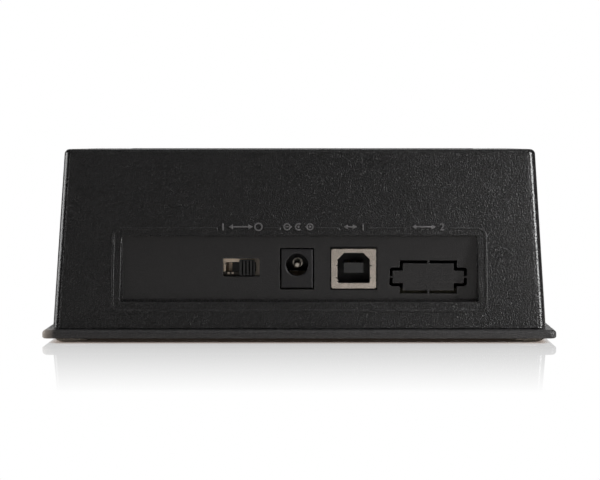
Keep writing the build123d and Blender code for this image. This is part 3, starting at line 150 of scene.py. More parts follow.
class StageLight(bpy.types.PropertyGroup):
    """Camera, lamps and floor"""

    lens: bpy.props.FloatProperty(
        name="Lens",
        description="Focal length on a sensor 36 mm wide",
        default=90.0,
        subtype="DISTANCE_CAMERA",
    )
    viewpoint: bpy.props.FloatVectorProperty(
        name="Viewpoint",
        description="Where the camera stands",
        default=(-7.4 * MM, 438.5 * MM, 53.78 * MM),
        subtype="XYZ",
        unit="LENGTH",
    )
    pitch: bpy.props.FloatProperty(
        name="Pitch",
        description="How far the camera looks down",
        default=math.radians(3.753),
        subtype="ANGLE",
    )
    shift: bpy.props.FloatProperty(
        name="Shift",
        description="Sideways shift of the picture, as a share of its width",
        default=-0.0447,
        subtype="FACTOR",
    )
    ambient: bpy.props.FloatProperty(
        name="Ambient", description="Strength of the light from all round", default=0.06
    )
    left_lamp: bpy.props.FloatProperty(
        name="Left Lamp",
        description="Power of the softbox at the left, seen from the back",
        default=0.86,
        unit="POWER",
    )
    right_lamp: bpy.props.FloatProperty(
        name="Right Lamp",
        description="Power of the softbox at the right, seen from the back",
        default=0.62,
        unit="POWER",
    )
    top_lamp: bpy.props.FloatProperty(
        name="Top Lamp", description="Power of the softbox overhead", default=0.34, unit="POWER"
    )


# Shader node groups


def new_group(name, inputs, outputs):
    """A shader node group, with what it is given and what it gives.

    It is given a place, and values, vectors or a colour, as their defaults are. It gives values, and
    a colour where that output is named Color.
    """
    kinds = {1: "NodeSocketFloat", 3: "NodeSocketVector", 4: "NodeSocketColor"}
    group = bpy.data.node_groups.new(name, "ShaderNodeTree")
    group.interface.new_socket("Vector", in_out="INPUT", socket_type=kinds[3])
    for socket, default in inputs.items():
        kind = kinds[len(default) if isinstance(default, tuple) else 1]
        group.interface.new_socket(socket, in_out="INPUT", socket_type=kind).default_value = default
    for socket in outputs:
        kind = kinds[4 if socket == "Color" else 1]
        group.interface.new_socket(socket, in_out="OUTPUT", socket_type=kind)
    given = group.nodes.new("NodeGroupInput").outputs
    return group, given, group.nodes.new("NodeGroupOutput").inputs


def add_node(tree, kind, inputs=None, **settings):
    """A node with its settings. Each input, by name or number, is linked to a socket or set."""
    node = tree.nodes.new(kind)
    for key, value in settings.items():
        setattr(node, key, value)
    for key, value in (inputs or {}).items():
        if isinstance(value, bpy.types.NodeSocket):
            tree.links.new(value, node.inputs[key])
        else:
            node.inputs[key].default_value = value
    return node


def maths(tree, operation, *values):
    """The output of a Math node."""
    return add_node(tree, "ShaderNodeMath", dict(enumerate(values)), operation=operation).outputs[0]


def vector_maths(tree, operation, *values):
    """The output of a Vector Math node."""
    node = add_node(tree, "ShaderNodeVectorMath", dict(enumerate(values)), operation=operation)
    return node.outputs["Value" if operation in {"DOT_PRODUCT", "LENGTH"} else "Vector"]


def scaled(tree, vector, factor):
    """A vector or a colour times a factor."""
    inputs = {0: vector, "Scale": factor}
    return add_node(tree, "ShaderNodeVectorMath", inputs, operation="SCALE").outputs["Vector"]


def split(tree, vector):
    """The parts of a vector, named X, Y and Z."""
    return add_node(tree, "ShaderNodeSeparateXYZ", {0: vector}).outputs


def facing(tree, axis):
    """How far the surface faces along an axis, from -1 to 1."""
    normal = add_node(tree, "ShaderNodeNewGeometry").outputs["Normal"]
    return vector_maths(tree, "DOT_PRODUCT", normal, axis)


def object_place(tree):
    """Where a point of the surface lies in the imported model's frame."""
    return add_node(tree, "ShaderNodeTexCoord").outputs["Object"]


def ramp(tree, value, low, high):
    """0 below low, 1 above high and straight between them; low may be above high."""
    inputs = {"Value": value, "From Min": low, "From Max": high}
    return add_node(tree, "ShaderNodeMapRange", inputs).outputs["Result"]


def noise(tree, vector, size, detail=2.0, roughness=0.5):
    """Noise whose features are about that size, in metres."""
    inputs = {
        "Vector": vector,
        "Scale": maths(tree, "DIVIDE", 1.0, size),
        "Detail": detail,
        "Roughness": roughness,
    }
    return add_node(tree, "ShaderNodeTexNoise", inputs).outputs["Fac"]


def moulding_grain():
    """Bumps left by a spark-eroded mould, and a mask of their tops, which glint."""
    group, given, result = new_group("moulding_grain", {"Grain": 0.3 * MM}, ["Height", "Glint"])
    bumps = noise(group, given["Vector"], given["Grain"], 1.0)
    inputs = {"Vector": given["Vector"], "Scale": maths(group, "DIVIDE", 1.0, given["Grain"])}
    pits = add_node(group, "ShaderNodeTexVoronoi", inputs).outputs["Distance"]
    group.links.new(maths(group, "MULTIPLY_ADD", pits, 0.5, bumps), result["Height"])
    group.links.new(ramp(group, bumps, 0.5, 0.62), result["Glint"])
    return group


def tone_drift():
    """A colour that drifts a little lighter and darker in soft patches."""
    inputs = {"Color": (0.5, 0.5, 0.5, 1), "Patch": 12 * MM, "Amount": 0.1}
    group, given, result = new_group("tone_drift", inputs, ["Color", "Drift"])
    drift = noise(group, given["Vector"], given["Patch"], 3.0)
    swing = maths(group, "MULTIPLY_ADD", drift, 2.0, -1.0)
    factor = maths(group, "MULTIPLY_ADD", swing, given["Amount"], 1.0)
    group.links.new(scaled(group, given["Color"], factor), result["Color"])
    group.links.new(drift, result["Drift"])
    return group


def drawn_lines():
    """Fine parallel lines of rolled, drawn or turned metal, across the stretched axis."""
    inputs = {"Stretch": (1, 1, 1), "Line": 0.08 * MM}
    group, given, result = new_group("drawn_lines", inputs, ["Height"])
    stretched = vector_maths(group, "MULTIPLY", given["Vector"], given["Stretch"])
    group.links.new(noise(group, stretched, given["Line"], 4.0, 0.7), result["Height"])
    return group


def edge_wear():
    """A mask along outer edges, broken up as rubbing leaves it."""
    inputs = {"Reach": 0.3 * MM, "Patch": 2 * MM}
    group, given, result = new_group("edge_wear", inputs, ["Mask"])
    rounded = add_node(group, "ShaderNodeBevel", {"Radius": given["Reach"]}, samples=4)
    edge = ramp(group, facing(group, rounded.outputs["Normal"]), 0.98, 0.8)
    patches = ramp(group, noise(group, given["Vector"], given["Patch"]), 0.3, 0.5)
    group.links.new(maths(group, "MULTIPLY", edge, patches), result["Mask"])
    return group


def settled_dust():
    """A mask of dust lying on surfaces that face up."""
    group, given, result = new_group("settled_dust", {"Patch": 3 * MM}, ["Mask"])
    upward = ramp(group, facing(group, (0, 0, 1)), 0.3, 1.0)
    lying = ramp(group, noise(group, given["Vector"], given["Patch"], 8.0, 0.75), 0.45, 0.75)
    group.links.new(maths(group, "MULTIPLY", upward, lying), result["Mask"])
    return group


def zone_mask():
    """1 inside a box, given by its middle and half its size, and 0 outside it."""
    inputs = {"Middle": (0, 0, 0), "Half": (1, 1, 1), "Blur": 0.05 * MM}
    group, given, result = new_group("zone_mask", inputs, ["Mask"])
    offset = vector_maths(group, "SUBTRACT", given["Vector"], given["Middle"])
    size = vector_maths(group, "ABSOLUTE", offset)
    beyond = split(group, vector_maths(group, "SUBTRACT", size, given["Half"]))
    sideways = maths(group, "MAXIMUM", beyond["X"], beyond["Y"])
    furthest = maths(group, "MAXIMUM", sideways, beyond["Z"])
    share = maths(group, "DIVIDE", furthest, given["Blur"])
    group.links.new(ramp(group, share, 0.5, -0.5), result["Mask"])
    return group


def printed_tracks():
    """A mask of straight printed tracks that run along Y in broken lengths."""
    inputs = {"Pitch": 0.6 * MM, "Run": 6 * MM}
    group, given, result = new_group("printed_tracks", inputs, ["Mask"])
    parts = split(group, given["Vector"])
    across = maths(group, "DIVIDE", parts["X"], given["Pitch"])
    lane = maths(group, "FLOOR", across)
    along = maths(group, "DIVIDE", parts["Y"], given["Run"])
    length = maths(group, "FLOOR", maths(group, "MULTIPLY_ADD", lane, 0.37, along))
    cell = add_node(group, "ShaderNodeCombineXYZ", {"X": lane, "Y": length}).outputs[0]
    chance = add_node(group, "ShaderNodeTexWhiteNoise", {"Vector": cell}).outputs["Value"]
    laid = maths(group, "GREATER_THAN", chance, 0.55)
    off_middle = maths(group, "SUBTRACT", maths(group, "FRACT", across), 0.5)
    track = ramp(group, maths(group, "ABSOLUTE", off_middle), 0.3, 0.22)
    group.links.new(maths(group, "MULTIPLY", laid, track), result["Mask"])
    return group


def place_group(tree, maker, inputs):
    """The outputs of a group, which its maker makes when it is first asked for."""
    group = bpy.data.node_groups.get(maker.__name__) or maker()
    return add_node(tree, "ShaderNodeGroup", inputs, node_tree=group).outputs


def drifting(tree, place, color, patch, amount):
    """A colour that drifts in patches of that size, and its drift."""
    inputs = {"Vector": place, "Color": (*color, 1), "Patch": patch, "Amount": amount}
    return place_group(tree, tone_drift, inputs)


def lined(tree, place, stretch, line):
    """The height of fine lines."""
    inputs = {"Vector": place, "Stretch": stretch, "Line": line}
    return place_group(tree, drawn_lines, inputs)["Height"]


def rubbed(tree, place, soft_edge, patch):
    """A mask of edges, with the wear broken into patches of that size."""
    inputs = {"Vector": place, "Reach": 1.5 * soft_edge, "Patch": patch}
    return place_group(tree, edge_wear, inputs)["Mask"]


def zone(tree, place, middle, half, blur=0.05 * MM):
    """A mask of a box, given by its middle and half its size."""
    inputs = {"Vector": place, "Middle": middle, "Half": half, "Blur": blur}
    return place_group(tree, zone_mask, inputs)["Mask"]


def seen_directly(tree):
    """1 on rays from the camera, and on those let through on the way."""
    path = add_node(tree, "ShaderNodeLightPath").outputs
    return maths(tree, "MAXIMUM", path["Is Camera Ray"], path["Is Transmission Ray"])


def mixed_color(tree, mask, under, over):
    """The second colour laid over the first where the mask is 1."""
    inputs = {
        0: mask,
        6: under if isinstance(under, bpy.types.NodeSocket) else (*under, 1),
        7: over if isinstance(over, bpy.types.NodeSocket) else (*over, 1),
    }
    return add_node(tree, "ShaderNodeMix", inputs, data_type="RGBA").outputs[2]


def mixed_value(tree, mask, under, over):
    """The second value where the mask is 1, and the first where it is 0."""
    return add_node(tree, "ShaderNodeMix", {0: mask, 2: under, 3: over}).outputs[0]


def bumped(tree, height, depth, soft_edge=0.0):
    """A normal raised by the height times the depth, over edges softened to that radius."""
    inputs = {"Height": height, "Distance": depth}
    if soft_edge:
        softened = add_node(tree, "ShaderNodeBevel", {"Radius": soft_edge}, samples=6)
        inputs["Normal"] = softened.outputs["Normal"]
    return add_node(tree, "ShaderNodeBump", inputs).outputs["Normal"]


# Materials


def start_material(name, roughness, metallic=0.0, specular=0.5):
    """A new material: its node tree, its shader and its object coordinates."""
    material = bpy.data.materials.new(name)
    material.use_nodes = True
    tree = material.node_tree
    shader = tree.nodes["Principled BSDF"]
    shader.inputs["Roughness"].default_value = roughness
    shader.inputs["Metallic"].default_value = metallic
    shader.inputs["Specular IOR Level"].default_value = specular
    return material, tree, shader, object_place(tree)


def feed(tree, shader, color, roughness, normal, metallic=None):
    """Links to the shader what changes over the surface."""
    for name, value in (
        ("Base Color", color),
        ("Roughness", roughness),
        ("Normal", normal),
        ("Metallic", metallic),
    ):
        if value is not None:
            tree.links.new(value, shader.inputs[name])


def open_color(material):
    """A finished material's tree, its base colour's input, what feeds that, and its place."""
    tree = material.node_tree
    base = tree.nodes["Principled BSDF"].inputs["Base Color"]
    return tree, base, base.links[0].from_socket, object_place(tree)


def moulded_plastic(
    name,
    color,
    roughness,
    grain,
    depth,
    soft_edge,
    specular=0.3,
    rub=0.35,
    painted_glint=0.2,
    smooth_painted_sheen_zone=None,
    dark_zone=None,
    smooth_corners=False,
    painted_highlight_corner=None,
):
    """Plastic from a textured mould: drifting tone, grain, edges paler from wear and a painted highlight,
    painted glints on the grain's tops, and a little dust.

    A zone is a box's middle and half its size. The sheen zone is smoother than the rest and painted
    lighter as a painted sheen. The dark zone is painted shade, nearly black, where light would hardly
    reach. Smooth corners are those rounded about an upright line. A painted highlight lies pale on the
    upright corner at the point given for it.
    """
    painted_glint_color = [3 * c for c in color]
    rubbed_color = [2.2 * c + 0.05 for c in color]
    painted_highlight_color = (0.5, 0.44, 0.39)
    dust_color = (0.4, 0.38, 0.35)
    painted_shade_color = (0.001, 0.001, 0.001)
    material, tree, shader, place = start_material(name, roughness, specular=specular)
    tone = drifting(tree, place, color, patch=14 * MM, amount=0.12)
    shade = tone["Color"]
    eroded = place_group(tree, moulding_grain, {"Vector": place, "Grain": grain})
    smoother_and_painted_sheen = 0.0
    if smooth_painted_sheen_zone:
        smoother_and_painted_sheen = zone(tree, place, *smooth_painted_sheen_zone)
        # painted sheen: the sheen zone's colour is painted up to 2.6 times lighter
        shade = scaled(tree, shade, maths(tree, "MULTIPLY_ADD", smoother_and_painted_sheen, 1.6, 1.0))
    if smooth_corners:
        sideways = maths(tree, "ABSOLUTE", facing(tree, (1, 0, 0)))
        off_back = ramp(tree, sideways, 0.1, 0.25)
        off_side = ramp(tree, sideways, 0.99, 0.95)
        smoother_and_painted_sheen = maths(tree, "MAXIMUM", smoother_and_painted_sheen, maths(tree, "MULTIPLY", off_back, off_side))
    # painted glints: the tops of the grain are painted three times lighter
    shade = mixed_color(tree, maths(tree, "MULTIPLY", eroded["Glint"], painted_glint), shade, painted_glint_color)
    # edges painted paler: partly wear, partly a painted highlight where an edge would catch light
    edge_mask = maths(tree, "MULTIPLY", rubbed(tree, place, soft_edge, patch=2.5 * MM), rub)
    shade = mixed_color(tree, edge_mask, shade, rubbed_color)
    # a painted highlight: the upright corner at the given point is painted pale
    if painted_highlight_corner is not None:
        parts = split(tree, place)
        along = ramp(tree, parts["X"], painted_highlight_corner.x - 3.5 * MM, painted_highlight_corner.x)
        back = ramp(tree, parts["Y"], painted_highlight_corner.y - 6 * MM, painted_highlight_corner.y - 3 * MM)
        shade = mixed_color(tree, maths(tree, "MULTIPLY", along, back), shade, painted_highlight_color)
    dust = place_group(tree, settled_dust, {"Vector": place, "Patch": 2 * MM})["Mask"]
    shade = mixed_color(tree, maths(tree, "MULTIPLY", dust, 0.05), shade, dust_color)
    glinting = maths(tree, "MULTIPLY_ADD", eroded["Glint"], -0.2, roughness + 0.06)
    clouded = maths(tree, "MULTIPLY_ADD", tone["Drift"], 0.08, glinting)
    dullness = mixed_value(tree, smoother_and_painted_sheen, clouded, roughness - 0.05)
    # painted shade: the dark zone is painted nearly black and fully rough
    if dark_zone:
        gap = zone(tree, place, *dark_zone)
        shade = mixed_color(tree, gap, shade, painted_shade_color)
        dullness = mixed_value(tree, gap, dullness, 1.0)
    flattened = maths(tree, "MULTIPLY", eroded["Height"], 0.25)
    height = mixed_value(tree, smoother_and_painted_sheen, eroded["Height"], flattened)
    feed(tree, shader, shade, dullness, bumped(tree, height, depth, soft_edge))
    return material


def plated_metal(name, color, roughness, stretch, line, depth, metallic=1.0, tarnish=0.15):
    """Rolled, drawn or plated metal: fine lines, tarnish in patches and brighter edges."""
    bright = [min(1.0, c * 1.15 + 0.04) for c in color]
    soft_edge = 0.1 * MM
    material, tree, shader, place = start_material(name, roughness, metallic)
    tone = drifting(tree, place, color, patch=4 * MM, amount=tarnish)
    lines = lined(tree, place, stretch, line)
    edge_mask = rubbed(tree, place, soft_edge, patch=1.5 * MM)
    shade = mixed_color(tree, edge_mask, tone["Color"], bright)
    streaks = maths(tree, "MULTIPLY_ADD", lines, 0.18, roughness - 0.09)
    clouds = maths(tree, "MULTIPLY_ADD", tone["Drift"], 0.12, -0.06)
    dullness = maths(tree, "ADD", streaks, clouds)
    feed(tree, shader, shade, dullness, bumped(tree, lines, depth, soft_edge))
    return material


# tint of the slot's colour, roughness, size of the grain, its depth, and softness of the edges
MOULDED_FINISHES = {
    "frame_plastic": (1, 0.42, 0.2 * MM, 0.012 * MM, 0.2 * MM),
    "receptacle_plastic": (1, 0.36, 0.12 * MM, 0.006 * MM, 0.1 * MM),
    "flap_plastic": (1, 0.44, 0.25 * MM, 0.03 * MM, 0.2 * MM),
    "foot_rubber": (1, 0.75, 0.5 * MM, 0.03 * MM, 0.2 * MM),
    # painted highlight: the marks are the case's plastic painted seven times lighter, for light on their
    # strokes
    "mark_plastic": (7, 0.26, 0.2 * MM, 0.02 * MM, 0.08 * MM),
    "jack_plastic": (1.25, 0.3, 0.15 * MM, 0.004 * MM, 0.25 * MM),
    "socket_insert_plastic": (1.5, 0.34, 0.12 * MM, 0.006 * MM, 0.12 * MM),
    "knob_plastic": (1.25, 0.4, 0.12 * MM, 0.008 * MM, 0.06 * MM),
    "switch_laminate": (1, 0.5, 0.2 * MM, 0.008 * MM, 0.08 * MM),
    "ferrite": (1, 0.6, 0.12 * MM, 0.02 * MM, 0.12 * MM),
}
# tint of the slot's colour, roughness, direction of the lines, their spacing and their depth
PLATED_FINISHES = {
    "case_screw_steel": (1, 0.34, (1, 1, 1), 0.12 * MM, 0.012 * MM),
    "screw_steel": (1, 0.3, (1, 1, 1), 0.12 * MM, 0.01 * MM),
    "pin_steel": (1, 0.22, (0.04, 1, 1), 0.06 * MM, 0.006 * MM),
    "spring_steel": (1, 0.3, (0.2, 1, 1), 0.06 * MM, 0.008 * MM),
    "contact_gold": (1, 0.25, (1, 0.08, 1), 0.07 * MM, 0.006 * MM),
    "socket_steel": (1.35, 0.28, (1, 0.06, 1), 0.09 * MM, 0.008 * MM),
    "jack_nickel": (1, 0.3, (1, 0.08, 1), 0.07 * MM, 0.005 * MM),
    "jack_spring_brass": (1, 0.5, (1, 0.08, 1), 0.08 * MM, 0.008 * MM),
    "switch_steel": (3, 0.34, (0.08, 1, 1), 0.09 * MM, 0.01 * MM),
    "switch_contact": (2.2, 0.4, (1, 1, 0.08), 0.08 * MM, 0.01 * MM),
    "crystal_steel": (1, 0.3, (0.1, 1, 1), 0.1 * MM, 0.008 * MM),
    "lead_tin": (1, 0.32, (1, 1, 0.1), 0.08 * MM, 0.006 * MM),
}


def tinted(color, tint):
    """A colour, lighter where the tint is over 1 and darker where it is under 1."""
    return [tint * c for c in color]


def moulded(kind, color=None, **more):
    """A moulded finish of its table, in the colour of the slot that is named like it, or another."""
    tint, *sizes = MOULDED_FINISHES[kind]
    color = tinted(SLOT_COLORS[kind] if color is None else color, tint)
    return moulded_plastic(kind + "_finish", color, *sizes, **more)


def plated(kind, color=None, **more):
    """A plated finish of its table, made only once, in the colour of its slot, or another."""
    made = bpy.data.materials.get(kind + "_finish")
    if made:
        return made
    tint, *sizes = PLATED_FINISHES[kind]
    color = tinted(SLOT_COLORS[kind] if color is None else color, tint)
    return plated_metal(kind + "_finish", color, *sizes, **more)


def clear_plastic(slot, roughness):
    """Clear moulded plastic with faint flow lines."""
    material, tree, shader, place = start_material(slot + "_finish", roughness)
    shader.inputs["Transmission Weight"].default_value = 0.85
    shader.inputs["IOR"].default_value = 1.5
    tone = drifting(tree, place, SLOT_COLORS[slot], patch=3 * MM, amount=0.06)
    flow = lined(tree, place, stretch=(1, 0.2, 1), line=0.5 * MM)
    dullness = maths(tree, "MULTIPLY_ADD", flow, 0.1, roughness - 0.05)
    feed(tree, shader, tone["Color"], dullness, bumped(tree, flow, 0.01 * MM, 0.1 * MM))
    return material


def printed_board():
    """Solder mask over printed tracks, on a laminate whose bare cut edges are painted dark as painted
    shade.
    """
    mask_color = SLOT_COLORS["board_laminate"]
    over_copper = [c * 1.7 + 0.01 for c in mask_color]
    painted_shade_edge_color = (0.05, 0.045, 0.025)
    material, tree, shader, place = start_material("board_laminate_finish", 0.3)
    tone = drifting(tree, place, mask_color, patch=9 * MM, amount=0.15)
    tracks = place_group(tree, printed_tracks, {"Vector": place})["Mask"]
    weave = lined(tree, place, stretch=(1, 0.1, 1), line=0.3 * MM)
    faces = mixed_color(tree, tracks, tone["Color"], over_copper)
    cut = ramp(tree, maths(tree, "ABSOLUTE", facing(tree, (0, 0, 1))), 0.6, 0.4)
    # painted shade: the cut edges are painted dark
    shade = mixed_color(tree, cut, faces, painted_shade_edge_color)
    relief = maths(tree, "MULTIPLY_ADD", weave, 0.3, tracks)
    feed(tree, shader, shade, mixed_value(tree, cut, 0.28, 0.75), bumped(tree, relief, 0.03 * MM))
    return material


def package_with_leads(node, reach):
    """Black moulding compound out to that reach from a node's middle, and tinned leads beyond it."""
    name = "chip_plastic_finish_" + node
    material, tree, shader, place = start_material(name, 0.5, specular=0.35)
    tone = drifting(tree, place, SLOT_COLORS["chip_plastic"], patch=3 * MM, amount=0.12)
    eroded = place_group(tree, moulding_grain, {"Vector": place, "Grain": 0.09 * MM})["Height"]
    body = zone(tree, place, middle_of(node), (reach * 1.1, reach, 1))
    shade = mixed_color(tree, body, SLOT_COLORS["lead_tin"], tone["Color"])
    dullness = mixed_value(tree, body, 0.3, 0.55)
    normal = bumped(tree, eroded, 0.012 * MM, 0.08 * MM)
    feed(tree, shader, shade, dullness, normal, maths(tree, "SUBTRACT", 1.0, body))
    return material


def can_and_base():
    """The capacitors' satin cans on their black bases."""
    low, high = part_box("filter_capacitors")
    can_height = high.z - low.z - 0.9 * MM
    material, tree, shader, place = start_material("can_aluminium_finish", 0.35)
    tone = drifting(tree, place, SLOT_COLORS["can_aluminium"], patch=3 * MM, amount=0.06)
    lines = lined(tree, place, stretch=(1, 1, 0.1), line=0.12 * MM)
    can = zone(tree, place, (0, 0, high.z), (1, 1, can_height))
    shade = mixed_color(tree, can, SLOT_COLORS["chip_plastic"], tone["Color"])
    normal = bumped(tree, lines, 0.008 * MM, 0.15 * MM)
    feed(tree, shader, shade, mixed_value(tree, can, 0.5, 0.32), normal, can)
    return material


# Pieces


def dress(material, *names):
    """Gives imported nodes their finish."""
    for name in names:
        for slot in frame["nodes"][name].material_slots:
            slot.material = material


def new_piece(name, mesh, material, body):
    """Links a finished bmesh as a piece that rides on a body."""
    bmesh.ops.recalc_face_normals(mesh, faces=mesh.faces)
    data = bpy.data.meshes.new(name)
    mesh.to_mesh(data)
    mesh.free()
    data.shade_smooth()
    data.set_sharp_from_angle(angle=math.radians(35))
    data.materials.append(material)
    piece = bpy.data.objects.new(name, data)
    bpy.context.scene.collection.objects.link(piece)
    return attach(piece, body)


class DOCK_OT_case(bpy.types.Operator):
    """Gives the housing, its base plate and its feet their moulded finishes"""

    bl_idname = "dock.case"
    bl_label = "Case"

    def execute(self, context):
        finish = context.scene.dock_case
        low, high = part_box("usb_shell")
        half_width = (high.x - low.x) / 2
        # the middle and half the size of the panel that holds the sockets, which is smoother and
        # painted lighter as a painted sheen
        panel = ((0, high.y, 19.6 * MM), (48.5 * MM, 0.3 * MM, 8.6 * MM))
        # and of the gap between the data socket's shell and its opening, painted nearly black as painted
        # shade
        gap_middle = (low.x + half_width, high.y, high.z - 5.3 * MM)
        gap = (gap_middle, (half_width + 0.42 * MM, 1.5 * MM, 5.95 * MM))
        housing = moulded_plastic(
            "case_plastic_finish",
            tinted(finish.plastic, 0.45),
            roughness=0.19,
            grain=finish.grain,
            depth=finish.grain_depth,
            soft_edge=finish.soft_edge,
            specular=0.4,
            rub=0.8,
            painted_glint=0.9,
            smooth_painted_sheen_zone=panel,
            dark_zone=gap,
            smooth_corners=True,
        )
        dress(housing, "upper_housing")
        # painted light: the plate takes the case's plastic 1.7 times lighter, against 0.45 times for the
        # housing
        plate = moulded_plastic(
            "plate_plastic_finish",
            tinted(finish.plastic, 1.7),
            roughness=0.38,
            grain=finish.grain,
            depth=finish.grain_depth / 2,
            soft_edge=1.5 * finish.soft_edge,
            specular=0.35,
            rub=0.6,
            painted_glint=0.6,
            # a painted highlight on the plate's upright corner at its largest X and Y
            painted_highlight_corner=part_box("base_plate")[1],
        )
        dress(plate, "base_plate")
        brown_grey = (0.3, 0.26, 0.22)
        rubber = moulded("foot_rubber", brown_grey, specular=0.2)
        dress(rubber, "foot_front_left", "foot_front_right", "foot_rear_left", "foot_rear_right")
        return {"FINISHED"}


def box_stroke(mesh, middle, width, height, depth):
    """Adds a straight stroke of a mark, lying in the plane of the wall."""
    place = Matrix.Translation((*middle, depth / 2))
    size = Matrix.Diagonal((width, height, depth, 1))
    bmesh.ops.create_cube(mesh, size=1, matrix=place @ size)


def arc_stroke(mesh, middle, radius, stroke, depth, start=0.0, sweep=math.tau, steps=32):
    """Adds a ring or part of a ring, spun from the stroke's rectangular section."""
    turned = Matrix.Rotation(start, 4, "Z") @ Matrix.Translation((radius, 0, depth / 2))
    section = Matrix.Translation((*middle, 0)) @ turned @ Matrix.Rotation(math.pi / 2, 4, "X")
    size = Matrix.Diagonal((stroke / 2, depth / 2, 1, 1))
    made = bmesh.ops.create_grid(mesh, x_segments=1, y_segments=1, size=1, matrix=section @ size)
    face = made["verts"][0].link_faces[0]
    ring = abs(sweep - math.tau) < 1e-6
    bmesh.ops.spin(
        mesh,
        geom=list(face.verts) + list(face.edges) + [face],
        cent=(*middle, 0),
        axis=(0, 0, 1),
        angle=sweep,
        steps=steps,
        use_merge=ring,
    )
    if ring:
        # a full turn leaves the section's own face inside the ring
        inner = [f for f in mesh.faces if f.is_valid and all(len(e.link_faces) > 2 for e in f.edges)]
        bmesh.ops.delete(mesh, geom=inner, context="FACES_ONLY")


def arrow_head(mesh, tip, direction, size, depth):
    """Adds a flat arrowhead whose tip points along the first axis, forwards or back."""
    place = Matrix.Translation((tip - direction * size / 2, 0, depth / 2))
    turn = Matrix.Rotation(0 if direction > 0 else math.pi, 4, "Z")
    bmesh.ops.create_cone(
        mesh,
        cap_ends=True,
        segments=3,
        radius1=size / 1.5,
        radius2=size / 1.5,
        depth=depth,
        matrix=place @ turn @ Matrix.Rotation(-math.pi / 2, 4, "Z"),
    )


def digit(mesh, text, middle, height, depth):
    """Adds a raised digit, which is 0.7 of its font's size high."""
    curve = bpy.data.curves.new("digit", "FONT")
    curve.body = text
    curve.size = height / 0.7
    curve.extrude = depth / 2
    curve.align_x = "CENTER"
    shape = bpy.data.objects.new("digit", curve)
    made = bpy.data.meshes.new_from_object(shape)
    made.transform(Matrix.Translation((middle[0], middle[1] - height / 2, depth / 2)))
    mesh.from_mesh(made)
    bpy.data.objects.remove(shape)
    bpy.data.curves.remove(curve)
    bpy.data.meshes.remove(made)


class DOCK_OT_marks(bpy.types.Operator):
    """Raises a generic mark on the wall over each socket: I and O, plug polarity, and port numbers"""

    bl_idname = "dock.marks"
    bl_label = "Marks"

    def execute(self, context):
        shape = context.scene.dock_marks
        self.half = (shape.height - shape.stroke) / 2
        self.stroke = shape.stroke
        self.sink = 0.06 * MM
        self.depth = shape.proud + self.sink
        wall = BVHTree.FromObject(frame["nodes"]["upper_housing"], context.evaluated_depsgraph_get())
        blank_x = -34.7 * MM
        marks = {
            "mark_switch": (middle_of("switch_frame").x, self.switch_mark),
            "mark_power": (middle_of("power_jack_housing").x - 0.4 * MM, self.power_mark),
            "mark_port_1": (middle_of("usb_shell").x, self.port_1_mark),
            "mark_port_2": (blank_x, self.port_2_mark),
        }
        # the table's tint paints the marks lighter than the case, as painted highlight
        material = moulded("mark_plastic", context.scene.dock_case.plastic, specular=0.6, rub=0.45)
        for name, (x, draw) in marks.items():
            mesh = bmesh.new()
            draw(mesh)
            bmesh.ops.remove_doubles(mesh, verts=mesh.verts, dist=0.001 * MM)
            on_top = [e for e in mesh.edges if min(v.co.z for v in e.verts) > 0.9 * self.depth]
            rims = [e for e in on_top if e.calc_face_angle(0) > math.radians(30)]
            bmesh.ops.bevel(
                mesh,
                geom=rims,
                offset=0.08 * MM,
                affect="EDGES",
                segments=2,
                profile=0.5,
                material=-1,
                clamp_overlap=True,
            )
            # a mark reads towards -X, as the back wall is seen, and leans with the wall
            behind = Vector((x, 1, shape.middle_z))
            hit, normal, _, _ = wall.ray_cast(behind, Vector((0, -1, 0)))
            side = Vector((-1, 0, 0))
            axes = Matrix((side, normal.cross(side), normal)).transposed().to_4x4()
            mesh.transform(Matrix.Translation(hit - normal * self.sink) @ axes)
            new_piece(name, mesh, material, "case")
        return {"FINISHED"}

    def switch_mark(self, mesh):
        """I, an arrow both ways, and O"""
        on_x, off_x, arrow_x = -4.9 * MM, 4.7 * MM, -0.1 * MM
        box_stroke(mesh, (on_x, 0), self.stroke * 1.2, 2 * self.half, self.depth)
        arc_stroke(mesh, (off_x, 0), self.half, self.stroke, self.depth)
        box_stroke(mesh, (arrow_x, 0), 4.4 * MM, self.stroke, self.depth)
        for direction in (1, -1):
            arrow_head(mesh, arrow_x + direction * 3.1 * MM, direction, 1.2 * MM, self.depth)

    def power_mark(self, mesh):
        """The barrel plug's polarity: minus outside, plus inside"""
        ring = self.half * 0.85
        round_stroke, line = self.stroke * 0.9, self.stroke * 0.8
        sign_x = 3.1 * MM
        link = 0.55 * ring
        for side in (-1, 1):
            arc_stroke(mesh, (side * sign_x, 0), ring, round_stroke, self.depth)
            box_stroke(mesh, (side * sign_x, 0), ring, line, self.depth)
            box_stroke(mesh, (side * (sign_x - ring - link / 2), 0), link, line, self.depth)
        box_stroke(mesh, (sign_x, 0), line, ring, self.depth)
        arc_stroke(
            mesh, (0, 0), ring, round_stroke, self.depth, math.radians(50), math.radians(260), steps=24
        )
        bmesh.ops.create_cone(
            mesh,
            cap_ends=True,
            segments=16,
            radius1=line,
            radius2=line,
            depth=self.depth,
            matrix=Matrix.Translation((0, 0, self.depth / 2)),
        )

    def port_mark(self, mesh, text, span):
        """An arrow both ways and the port's number"""
        middle_x = -MM
        box_stroke(mesh, (middle_x, 0), span, self.stroke, self.depth)
        for direction in (1, -1):
            tip = middle_x + direction * (span / 2 + 0.8 * MM)
            arrow_head(mesh, tip, direction, 1.1 * MM, self.depth)
        digit(mesh, text, (span / 2 + 1.7 * MM, 0), 2 * self.half, self.depth)

    def port_1_mark(self, mesh):
        """The fitted socket"""
        self.port_mark(mesh, "1", 1.6 * MM)

    def port_2_mark(self, mesh):
        """The socket left out"""
        self.port_mark(mesh, "2", 4.4 * MM)


